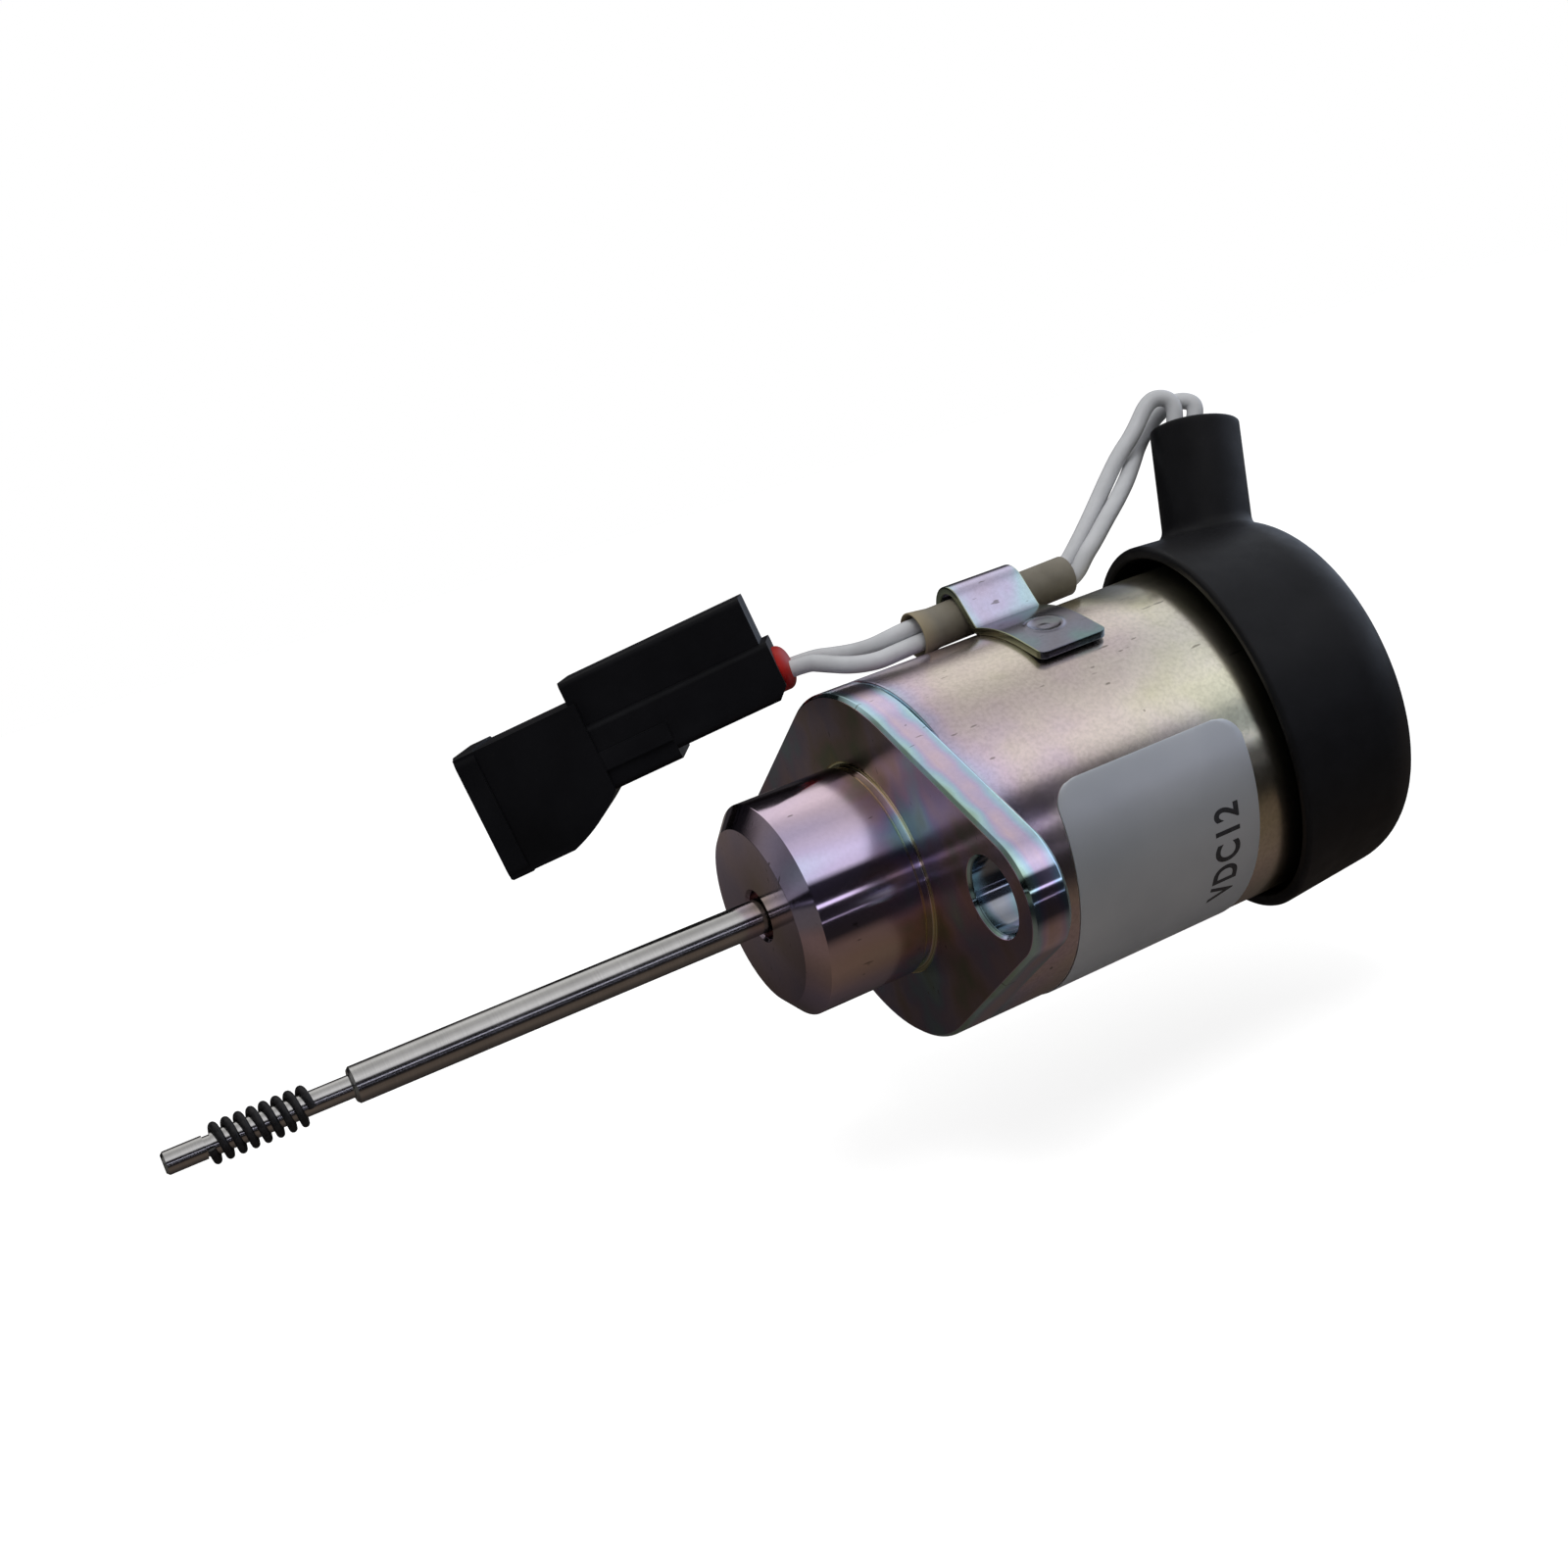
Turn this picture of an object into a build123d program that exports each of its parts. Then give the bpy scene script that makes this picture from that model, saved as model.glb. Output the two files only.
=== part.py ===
# Fuel shutoff solenoid: a plated two-bolt solenoid with a long stepped rod, a loose rubber
# boot over its terminals, and two wires that pass a clip on the can to a sealed plug.
#
# Millimetres. The origin is the centre of the flange's mounting face. +X is the way the
# rod pushes, +Y is the side with the label, and +Z is the side with the clip and snorkel.
import math
import os
from build123d import *

os.makedirs("parts", exist_ok=True)

# Fits
slide_gap = 0.05        # radial, between a sliding piece and its guide
seat_gap = 0.03         # between pieces that are pressed or clamped together
soft_gap = 0.30         # between a soft piece and its neighbour

# Flange and nose
flange_thickness = 5.0
ear_radius = 7.8
bolt_spacing = 55.0
bolt_hole_diameter = 9.0
flange_edge_chamfer = 0.45
nose_radius = 13.25
nose_length = 16.0
nose_chamfer_length = 2.05
nose_chamfer_depth = 2.4
groove_width = 1.3
groove_depth = 1.0
face_relief_width = 0.35
face_relief_depth = 0.3
rod_hole_diameter = 6.0
rod_hole_depth = 3.0
rod_hole_chamfer = 0.35
spigot_length = 3.0

# Can
can_radius = 22.0
can_wall = 2.0
can_length = 48.6
can_lip_thickness = 1.2
can_lip_overlap = 2.0
can_edge_round = 1.0

# Rod and the spring on its tip
rod_radius = 2.115
rod_length = 140.4
rod_tip_x = 86.7
rod_thin_radius = 1.305
rod_thin_length = 20.5
rod_tip_chamfer = 0.3
rod_tail_radius = 1.8
tip_spring_wire = 0.86
tip_spring_turns = 8
tip_spring_pitch = 1.36
tip_spring_from_tip = 4.9
tip_spring_grip = 0.06
tip_groove_width = 0.8
tip_groove_depth = 0.2

# Guide bush, pole core, plunger and return spring
bush_radius = 4.0
core_foot_radius = 7.0
core_foot_length = 3.9
core_length = 16.0
guide_radius = 9.0
guide_wall = 0.5
spring_pocket_radius = 5.0
spring_pocket_depth = 5.0
core_bore_radius = 2.6
stroke = 9.5
shim_thickness = 0.5
plunger_length = 18.0
ring_thickness = 0.6
ring_radius = 3.2
ring_groove_depth = 0.25
spring_wire = 0.8
spring_turns = 5
spring_mean_radius = 3.9

# Coil
bobbin_wall = 1.2
bobbin_cheek = 1.6
winding_inset = 2.4
wrap_thickness = 0.6

# Rear end
rear_plate_thickness = 3.0
cap_thickness = 4.5
stop_radius = 8.5
stop_hole_radius = 4.4
stop_thickness = 2.2
tab_width = 3.2
tab_thickness = 0.8
tab_length = 4.0

# Boot: a loose cup that sits askew on the can, with its snorkel leaning back and towards -Y
boot_cover = 4.5
boot_offset_y = 0.05
boot_offset_z = 0.6
boot_axis = Vector(-1, 0.177, 0.06).normalized()
boot_slack = 1.4
boot_taper = 1.8
boot_length = 18.9
boot_wall = 1.6
boot_corner = 7.2
snorkel_behind_rim = 12.1
snorkel_turn = -12.1
snorkel_axis = Vector(-0.293, -0.222, 0.93).normalized()
snorkel_height = 13.6
snorkel_inset = 1.1
snorkel_root = 4.0
snorkel_base_radius = 5.75
snorkel_top_radius = 5.85
snorkel_bore_radius = 4.3

# Wires, their sleeve and the clip
wire_radius = 1.1
sleeve_radius = 2.6
sleeve_bore_radius = 2.35
sleeve_y = -6.3
sleeve_front_x = -16.5
sleeve_back_x = -39.8
sleeve_front_gap = 0.087
sleeve_back_gap = 0.668
clip_front_x = -22.4
clip_width = 9.6
clip_thickness = 1.0
clip_weld_angle = 21.0
clip_foot_angle = 3.5
clip_tail = 4.6
hook_rise = 3.0
hook_radius = 2.9
hook_front_slope = 37.0
hook_back_slope = 27.0
hook_back_length = 5.2
clip_corner = 1.0
dimple_angle = 17.3
dimple_radius = 2.1
dimple_depth = 0.35

# Label
label_thickness = 0.12
label_front_x = -14.0
label_length = 26.3
label_start_angle = 71.5
label_sweep = 128.0

# Plug: its own frame starts at the centre of the rear opening, runs along the plug to its
# mouth, has the side nearest the label across it, and the latch block above it
plug_rear_x = -4.3
plug_rear_y = -15.9
plug_rear_z = 23.8
plug_axis = Vector(0.897, -0.413, -0.157).normalized()
plug_up = Vector(0.117, -0.121, 0.986)
plug_length = 43.2
plug_start = 1.8
body_half_width = 6.5
body_top = 4.8
body_bottom = -2.6
body_length = 25.6
belly_start = 17.2
belly_bottom = -3.9
shroud_start = 26.4
shroud_half_width = 7.3
shroud_top = 8.0
shroud_bottom = -8.5
shroud_wall = 1.5
shroud_depth = 16.0
keel_length = 8.9
keel_middle = (30.4, -6.8)
rim_length = 2.8
rim_proud = 0.3
block_start = 2.7
block_length = 24.8
block_top = 11.1
block_half_width = 5.7
slot_half_width = 3.6
slot_floor = 6.4
slot_depth = 17.0
plug_corner = 0.8
body_chamfer = 1.4
rib_height = 0.5
seal_half_width = 5.0
seal_half_height = 2.8
seal_height = 0.35
seal_proud = 0.9
seal_depth = 6.0
pin_spacing = 4.4
pin_barrel_radius = 1.6
pin_barrel_length = 5.0
pin_blade_width = 2.2
pin_blade_thickness = 0.8
pin_reach = 37.0
wire_end = 9.0
lock_thickness = 2.4
lock_gap = 0.15

# Places along the axis that follow from the sizes above
spigot_back_x = -flange_thickness - spigot_length
can_back_x = -flange_thickness - can_length
can_bore = can_radius - can_wall
plate_back_x = can_back_x + can_lip_thickness
plate_front_x = plate_back_x - seat_gap + rear_plate_thickness
core_face_x = spigot_back_x - core_length
shim_back_x = core_face_x - shim_thickness
plunger_front_x = shim_back_x - stroke
plunger_back_x = plunger_front_x - plunger_length
rod_tail_x = rod_tip_x - rod_length
rod_step_x = rod_tip_x - rod_thin_length
bush_back_x = spigot_back_x + core_foot_length + soft_gap
spring_front_x = core_face_x + spring_pocket_depth
cap_front_x = plate_back_x - seat_gap
cap_back_x = cap_front_x - cap_thickness
ear_y = bolt_spacing / 2
flange_radius = can_radius
tip_groove_front_x = rod_tip_x - tip_spring_from_tip + tip_spring_wire / 2 + slide_gap
tip_groove_back_x = tip_groove_front_x - tip_groove_width
tube_radius = guide_radius + guide_wall
bobbin_bore = tube_radius + seat_gap
bobbin_barrel = bobbin_bore + bobbin_wall
cheek_radius = can_bore - soft_gap
winding_radius = can_bore - winding_inset
coil_front_x = spigot_back_x - seat_gap
coil_back_x = plate_front_x + seat_gap
winding_front_x = coil_front_x - bobbin_cheek - seat_gap
winding_back_x = coil_back_x + bobbin_cheek + seat_gap

# Places across the axis that follow from the can's radius
boot_rim_radius = can_radius + boot_slack + boot_wall
boot_end_radius = boot_rim_radius - boot_taper
snorkel_seat = boot_rim_radius - snorkel_inset
sleeve_front_reach = can_radius + sleeve_radius + sleeve_front_gap
sleeve_back_reach = can_radius + sleeve_radius + sleeve_back_gap
sleeve_front = Vector(sleeve_front_x, sleeve_y, math.sqrt(sleeve_front_reach**2 - sleeve_y**2))
sleeve_back = Vector(sleeve_back_x, sleeve_y, math.sqrt(sleeve_back_reach**2 - sleeve_y**2))
hook_z = can_radius + hook_rise

# Planes
boot_centre = (can_back_x + boot_cover, boot_offset_y, boot_offset_z)
plug_rear = Vector(plug_rear_x, plug_rear_y, plug_rear_z)
boot_side = Vector(0, 0, 1).cross(boot_axis).normalized()
boot_section = Plane(origin=boot_centre, x_dir=boot_axis, z_dir=boot_side)
boot_up = boot_axis.cross(boot_side)
snorkel_side = boot_up.rotate(Axis((0, 0, 0), boot_axis), snorkel_turn)
snorkel_foot = Vector(*boot_centre) + boot_axis * snorkel_behind_rim + snorkel_side * snorkel_seat
snorkel_plane = Plane(origin=snorkel_foot, z_dir=snorkel_axis)
plug_across = plug_up.cross(plug_axis).normalized()
plug_section = Plane(origin=plug_rear, x_dir=plug_across, z_dir=plug_axis)
plug_side = Plane(origin=plug_rear, x_dir=plug_axis, z_dir=-plug_across)
sleeve_axis = (sleeve_back - sleeve_front).normalized()
sleeve_length = (sleeve_back - sleeve_front).length


def half_profile(*points):
    """The closed half profile of a turned piece: each point is a place on the axis and a radius."""
    with BuildSketch(Plane.XZ) as profile:
        with BuildLine():
            Polyline(*points, close=True)
        make_face()
    return profile.sketch


def ring_profile(front, back, outer, inner):
    """The half profile of a plain ring between two places on the axis."""
    return half_profile((front, inner), (front, outer), (back, outer), (back, inner))


def finish(piece, name):
    """Labels a finished piece and writes it."""
    piece.part.label = name
    export_step(piece.part, f"parts/{name}.step")


# Front flange: an oval plate with the nose in front and a spigot for the can behind
with BuildPart() as end_flange:
    with BuildSketch(Plane.YZ.offset(-flange_thickness)):
        Circle(flange_radius)
        with Locations((ear_y, 0), (-ear_y, 0)):
            Circle(ear_radius)
        make_hull()
    extrude(amount=flange_thickness)
    plate_rims = end_flange.faces().filter_by(Axis.X).edges()
    chamfer(plate_rims, length=flange_edge_chamfer)
    revolve(
        half_profile(
            (spigot_back_x, 0),
            (spigot_back_x, can_bore - seat_gap),
            (-flange_thickness, can_bore - seat_gap),
            (-flange_thickness, nose_radius),
            (-flange_thickness / 2, nose_radius),
            (-flange_thickness / 2, nose_radius - groove_depth),
            (groove_width, nose_radius - groove_depth),
            (groove_width, nose_radius),
            (nose_length - nose_chamfer_length, nose_radius),
            (nose_length, nose_radius - nose_chamfer_depth),
            (nose_length, 0),
        ),
        axis=Axis.X,
    )
    revolve(
        ring_profile(
            0,
            -face_relief_depth,
            nose_radius + face_relief_width,
            nose_radius - groove_depth,
        ),
        axis=Axis.X,
        mode=Mode.SUBTRACT,
    )
    with Locations(Plane.YZ):
        with Locations((ear_y, 0), (-ear_y, 0)):
            CounterSinkHole(
                radius=bolt_hole_diameter / 2,
                counter_sink_radius=bolt_hole_diameter / 2 + flange_edge_chamfer,
                depth=flange_thickness,
                counter_sink_angle=90,
            )
    revolve(
        half_profile(
            (spigot_back_x, 0),
            (spigot_back_x, core_foot_radius),
            (spigot_back_x + core_foot_length, core_foot_radius),
            (spigot_back_x + core_foot_length, bush_radius),
            (nose_length - rod_hole_depth, bush_radius),
            (nose_length - rod_hole_depth, rod_hole_diameter / 2),
            (nose_length - rod_hole_chamfer, rod_hole_diameter / 2),
            (nose_length, rod_hole_diameter / 2 + rod_hole_chamfer),
            (nose_length, 0),
        ),
        axis=Axis.X,
        mode=Mode.SUBTRACT,
    )
finish(end_flange, "end_flange")

# Bronze bush in the nose
with BuildPart() as front_bush:
    revolve(
        ring_profile(
            nose_length - rod_hole_depth - seat_gap,
            bush_back_x,
            bush_radius - seat_gap,
            rod_radius + slide_gap,
        ),
        axis=Axis.X,
    )
finish(front_bush, "front_bush")

# Can, with a lip rolled over the rear plate
with BuildPart() as case_can:
    revolve(
        half_profile(
            (-flange_thickness - seat_gap, can_bore),
            (-flange_thickness - seat_gap, can_radius),
            (can_back_x + can_edge_round, can_radius),
            (can_back_x, can_radius - can_edge_round),
            (can_back_x, can_bore - can_lip_overlap),
            (plate_back_x, can_bore - can_lip_overlap),
            (plate_back_x, can_bore),
        ),
        axis=Axis.X,
    )
finish(case_can, "case_can")

# Fixed pole core, with a foot in the flange and a pocket for the return spring
with BuildPart() as pole_core:
    revolve(
        half_profile(
            (spigot_back_x + core_foot_length - seat_gap, core_bore_radius),
            (spigot_back_x + core_foot_length - seat_gap, core_foot_radius - seat_gap),
            (spigot_back_x - seat_gap, core_foot_radius - seat_gap),
            (spigot_back_x - seat_gap, guide_radius - seat_gap),
            (core_face_x, guide_radius - seat_gap),
            (core_face_x, spring_pocket_radius),
            (spring_front_x, spring_pocket_radius),
            (spring_front_x, core_bore_radius),
        ),
        axis=Axis.X,
    )
finish(pole_core, "pole_core")

# Brass shim on the pole face
with BuildPart() as shim_washer:
    revolve(
        ring_profile(core_face_x - seat_gap, shim_back_x, guide_radius - seat_gap, spring_pocket_radius),
        axis=Axis.X,
    )
finish(shim_washer, "shim_washer")

# Brass tube that the plunger slides in
with BuildPart() as guide_tube:
    revolve(ring_profile(coil_front_x, plate_back_x, tube_radius, guide_radius), axis=Axis.X)
finish(guide_tube, "guide_tube")

# Nylon bobbin
with BuildPart() as coil_bobbin:
    revolve(
        half_profile(
            (coil_front_x, bobbin_bore),
            (coil_front_x, cheek_radius),
            (coil_front_x - bobbin_cheek, cheek_radius),
            (coil_front_x - bobbin_cheek, bobbin_barrel),
            (coil_back_x + bobbin_cheek, bobbin_barrel),
            (coil_back_x + bobbin_cheek, cheek_radius),
            (coil_back_x, cheek_radius),
            (coil_back_x, bobbin_bore),
        ),
        axis=Axis.X,
    )
finish(coil_bobbin, "coil_bobbin")

# Copper winding and the tape round it
with BuildPart() as coil_winding:
    revolve(
        ring_profile(winding_front_x, winding_back_x, winding_radius, bobbin_barrel + seat_gap),
        axis=Axis.X,
    )
finish(coil_winding, "coil_winding")

with BuildPart() as coil_wrap:
    revolve(
        ring_profile(
            winding_front_x,
            winding_back_x,
            winding_radius + seat_gap + wrap_thickness,
            winding_radius + seat_gap,
        ),
        axis=Axis.X,
    )
finish(coil_wrap, "coil_wrap")

# Iron plate behind the coil
with BuildPart() as rear_plate:
    revolve(
        ring_profile(
            plate_front_x,
            plate_back_x + seat_gap,
            can_bore - seat_gap,
            tube_radius + seat_gap,
        ),
        axis=Axis.X,
    )
finish(rear_plate, "rear_plate")

# Rear cap, with a pocket for the rubber stop
with BuildPart() as terminal_cap:
    revolve(
        half_profile(
            (cap_front_x, stop_radius + seat_gap),
            (cap_front_x, can_bore - can_lip_overlap - seat_gap),
            (cap_back_x, can_bore - can_lip_overlap - seat_gap),
            (cap_back_x, 0),
            (cap_front_x - stop_thickness - seat_gap, 0),
            (cap_front_x - stop_thickness - seat_gap, stop_radius + seat_gap),
        ),
        axis=Axis.X,
    )
finish(terminal_cap, "terminal_cap")

# Rubber stop behind the plunger
with BuildPart() as rear_stop:
    revolve(
        ring_profile(
            plunger_back_x - slide_gap,
            cap_front_x - stop_thickness,
            stop_radius,
            stop_hole_radius,
        ),
        axis=Axis.X,
    )
finish(rear_stop, "rear_stop")

# Rod: a ground shank, a thin front end and a tail that carries the plunger
with BuildPart() as push_rod:
    revolve(
        half_profile(
            (rod_tip_x, 0),
            (rod_tip_x, rod_thin_radius - rod_tip_chamfer),
            (rod_tip_x - rod_tip_chamfer, rod_thin_radius),
            (tip_groove_front_x, rod_thin_radius),
            (tip_groove_front_x, rod_thin_radius - tip_groove_depth),
            (tip_groove_back_x, rod_thin_radius - tip_groove_depth),
            (tip_groove_back_x, rod_thin_radius),
            (rod_step_x, rod_thin_radius),
            (rod_step_x, rod_radius - rod_tip_chamfer),
            (rod_step_x - rod_tip_chamfer, rod_radius),
            (plunger_front_x, rod_radius),
            (plunger_front_x, rod_tail_radius),
            (plunger_back_x - seat_gap, rod_tail_radius),
            (plunger_back_x - seat_gap, rod_tail_radius - ring_groove_depth),
            (plunger_back_x - seat_gap * 3 - ring_thickness, rod_tail_radius - ring_groove_depth),
            (plunger_back_x - seat_gap * 3 - ring_thickness, rod_tail_radius),
            (rod_tail_x, rod_tail_radius),
            (rod_tail_x, 0),
        ),
        axis=Axis.X,
    )
finish(push_rod, "push_rod")

# Plunger and the ring that holds it on the rod
with BuildPart() as plunger:
    revolve(
        ring_profile(
            plunger_front_x - seat_gap,
            plunger_back_x,
            guide_radius - slide_gap,
            rod_tail_radius + seat_gap,
        ),
        axis=Axis.X,
    )
finish(plunger, "plunger")

with BuildPart() as rod_clip:
    revolve(
        ring_profile(
            plunger_back_x - seat_gap * 2,
            plunger_back_x - seat_gap * 2 - ring_thickness,
            ring_radius,
            rod_tail_radius - ring_groove_depth + seat_gap,
        ),
        axis=Axis.X,
    )
finish(rod_clip, "rod_clip")

# Return spring between the core's pocket and the plunger
spring_height = spring_front_x - plunger_front_x - spring_wire - seat_gap * 2
with BuildPart() as return_spring:
    with BuildLine():
        spring_path = Helix(
            pitch=spring_height / spring_turns,
            height=spring_height,
            radius=spring_mean_radius,
            center=(plunger_front_x + spring_wire / 2 + seat_gap, 0, 0),
            direction=(1, 0, 0),
        )
    with BuildSketch(Plane(origin=spring_path @ 0, z_dir=spring_path % 0)):
        Circle(spring_wire / 2)
    sweep(is_frenet=True)
finish(return_spring, "return_spring")

# Spring on the rod's tip
with BuildPart() as tip_spring:
    with BuildLine():
        tip_path = Helix(
            pitch=tip_spring_pitch,
            height=tip_spring_pitch * tip_spring_turns,
            radius=rod_thin_radius + tip_spring_grip + tip_spring_wire / 2,
            center=(rod_tip_x - tip_spring_from_tip - tip_spring_pitch * tip_spring_turns, 0, 0),
            direction=(1, 0, 0),
        )
    with BuildSketch(Plane(origin=tip_path @ 0, z_dir=tip_path % 0)):
        Circle(tip_spring_wire / 2)
    sweep(is_frenet=True)
finish(tip_spring, "tip_spring")

# Brass tabs on the rear cap
tab_places = {"tab_upper": (2.2, 10.0), "tab_lower": (6.0, 10.0)}
for tab_name, (tab_y, tab_z) in tab_places.items():
    with BuildPart() as tab:
        with BuildSketch(Plane.YZ.offset(cap_back_x - seat_gap)):
            with Locations((tab_y, tab_z)):
                Rectangle(tab_thickness, tab_width)
        extrude(amount=-tab_length)
    finish(tab, tab_name)

# Rubber boot with its snorkel
with BuildPart() as rear_boot:
    with BuildSketch(boot_section):
        with BuildLine():
            FilletPolyline(
                (0, boot_rim_radius),
                (boot_length, boot_end_radius),
                (boot_length, 0),
                radius=boot_corner,
            )
            Polyline((boot_length, 0), (0, 0), (0, boot_rim_radius))
        make_face()
    revolve(axis=Axis(boot_centre, boot_axis))
    with BuildSketch(snorkel_plane.offset(-snorkel_root)):
        Circle(snorkel_base_radius)
    with BuildSketch(snorkel_plane.offset(snorkel_height)):
        Circle(snorkel_top_radius)
    loft()
    with BuildSketch(boot_section):
        with BuildLine():
            FilletPolyline(
                (0, boot_rim_radius - boot_wall),
                (boot_length - boot_wall, boot_end_radius - boot_wall),
                (boot_length - boot_wall, 0),
                radius=boot_corner - boot_wall,
            )
            Polyline((boot_length - boot_wall, 0), (0, 0), (0, boot_rim_radius - boot_wall))
        make_face()
    revolve(axis=Axis(boot_centre, boot_axis), mode=Mode.SUBTRACT)
    with BuildSketch(snorkel_plane.offset(snorkel_height)):
        Circle(snorkel_bore_radius)
    extrude(amount=-snorkel_height - boot_wall - snorkel_base_radius, mode=Mode.SUBTRACT)
finish(rear_boot, "rear_boot")

# Clip: a strap bent round the can from the weld to its foot, then hooked over the sleeve
strap_radius = can_radius + seat_gap + clip_thickness / 2
weld_angle = 90 - clip_weld_angle
foot_angle = 90 + clip_foot_angle
weld_point = Vector(strap_radius, 0).rotate(Axis.Z, weld_angle)
foot_point = Vector(strap_radius, 0).rotate(Axis.Z, foot_angle)
tail_point = weld_point + Vector(1, 0).rotate(Axis.Z, -clip_weld_angle) * clip_tail
dimple_ball_radius = (dimple_radius**2 + dimple_depth**2) / (2 * dimple_depth)
dimple_reach = strap_radius + clip_thickness / 2 - dimple_depth + dimple_ball_radius
dimple_turn = math.radians(dimple_angle)
dimple_centre = (
    clip_front_x - clip_width / 2,
    dimple_reach * math.sin(dimple_turn),
    dimple_reach * math.cos(dimple_turn),
)
hook_centre = Vector(sleeve_y, hook_z)
hook_front = hook_centre + Vector(1, 0).rotate(Axis.Z, hook_front_slope) * hook_radius
hook_back = hook_centre + Vector(-1, 0).rotate(Axis.Z, -hook_back_slope) * hook_radius
hook_end = hook_back + Vector(0, -1).rotate(Axis.Z, -hook_back_slope) * hook_back_length
with BuildPart() as wire_clip:
    with BuildSketch(Plane.YZ.offset(clip_front_x)):
        with BuildLine() as strap_line:
            Line(tail_point, weld_point)
            ThreePointArc(weld_point, (0, strap_radius), foot_point)
            Line(foot_point, hook_front)
            ThreePointArc(hook_front, hook_centre + Vector(0, hook_radius), hook_back)
            Line(hook_back, hook_end)
        trace(line_width=clip_thickness)
    extrude(amount=-clip_width)
    tail_face = wire_clip.faces().sort_by(Axis.Y)[-1]
    tail_corners = tail_face.edges().filter_by(Axis.X, reverse=True)
    fillet(tail_corners, radius=clip_corner)
    with Locations(dimple_centre):
        Sphere(dimple_ball_radius, mode=Mode.SUBTRACT)
finish(wire_clip, "wire_clip")

# Sleeve round the two wires under the clip
with BuildPart() as wire_sleeve:
    with BuildSketch(Plane(origin=sleeve_front, z_dir=sleeve_axis)):
        Circle(sleeve_radius)
        Circle(sleeve_bore_radius, mode=Mode.SUBTRACT)
    extrude(amount=sleeve_length)
finish(wire_sleeve, "wire_sleeve")

# Wires: each runs from its tab through the snorkel, over its rim, through the sleeve to the plug
wire_routes = {
    "lead_upper": [
        (-58.2, 2.2, 12.2),
        (-58.5, 1.4, 16.5),
        (-58.6, -1.0, 20.6),
        (-58.5, -3.6, 24.8),
        (-59.96, -5.24, 31.67),
        (-61.94, -6.74, 37.95),
        (-62.95, -6.95, 40.30),
        (-62.45, -7.60, 41.95),
        (-60.15, -8.45, 42.30),
        (-56.68, -8.51, 38.64),
        (-53.58, -8.41, 36.59),
        (-50.71, -8.13, 34.10),
        (-47.65, -7.65, 31.40),
        (-44.85, -7.15, 29.04),
        (-42.37, -6.85, 27.02),
        (-40.9, -7.0, 25.7),
        (-39.4, -7.1, 25.26),
        (-34.0, -7.0, 25.20),
        (-25.0, -6.9, 25.05),
        (-16.5, -6.87, 24.84),
        (-13.7, -7.15, 24.5),
        (-11.7, -9.2, 23.85),
        (-9.9, -12.9, 23.6),
        (-6.09, -17.52, 24.17),
        (2.88, -21.65, 22.60),
    ],
    "lead_lower": [
        (-58.2, 6.0, 12.2),
        (-59.0, 5.2, 16.0),
        (-60.9, 1.8, 19.6),
        (-61.3, -3.0, 24.2),
        (-62.85, -5.75, 30.64),
        (-64.71, -7.16, 36.55),
        (-66.63, -7.27, 39.62),
        (-65.85, -8.38, 40.76),
        (-64.20, -10.00, 40.80),
        (-62.00, -12.00, 38.95),
        (-58.85, -11.20, 36.70),
        (-55.50, -8.70, 34.85),
        (-52.83, -6.99, 33.27),
        (-50.06, -6.13, 31.38),
        (-46.93, -5.20, 29.50),
        (-44.48, -4.69, 27.73),
        (-42.38, -4.55, 26.27),
        (-41.0, -4.9, 24.6),
        (-39.4, -5.5, 23.66),
        (-34.0, -5.6, 23.44),
        (-25.0, -5.7, 23.13),
        (-16.5, -5.73, 22.90),
        (-13.4, -5.6, 22.75),
        (-10.6, -6.0, 22.5),
        (-8.2, -8.3, 22.75),
        (-6.4, -11.5, 23.5),
        (-4.22, -13.54, 24.43),
        (4.75, -17.67, 22.86),
    ],
}


def corner_radii(points):
    """An arc for each corner of a route, as large as its two runs allow."""
    places = [Vector(*point) for point in points]
    radii = []
    for before, corner, after in zip(places, places[1:], places[2:]):
        first = corner - before
        second = after - corner
        half_turn = math.radians(first.get_angle(second)) / 2
        radii.append(0.45 * min(first.length, second.length) / math.tan(half_turn))
    return radii


for wire_name, route in wire_routes.items():
    radii = corner_radii(route)
    print(wire_name, "arc radii", [round(radius, 1) for radius in radii])
    with BuildPart() as wire:
        with BuildLine():
            wire_path = FilletPolyline(*route, radius=radii)
        with BuildSketch(Plane(origin=wire_path @ 0, z_dir=wire_path % 0)):
            Circle(wire_radius)
        sweep()
    expected = math.pi * wire_radius**2 * wire_path.length
    volume_share = wire.part.volume / expected
    print(wire_name, "length", round(wire_path.length, 1), "volume share", round(volume_share, 4))
    finish(wire, wire_name)

# Label on the can
with BuildPart() as rating_label:
    label_radius = can_radius + seat_gap
    revolve(
        ring_profile(
            label_front_x,
            label_front_x - label_length,
            label_radius + label_thickness,
            label_radius,
        ).rotate(Axis.X, -label_start_angle),
        axis=Axis.X,
        revolution_arc=-label_sweep,
    )
finish(rating_label, "rating_label")

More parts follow.
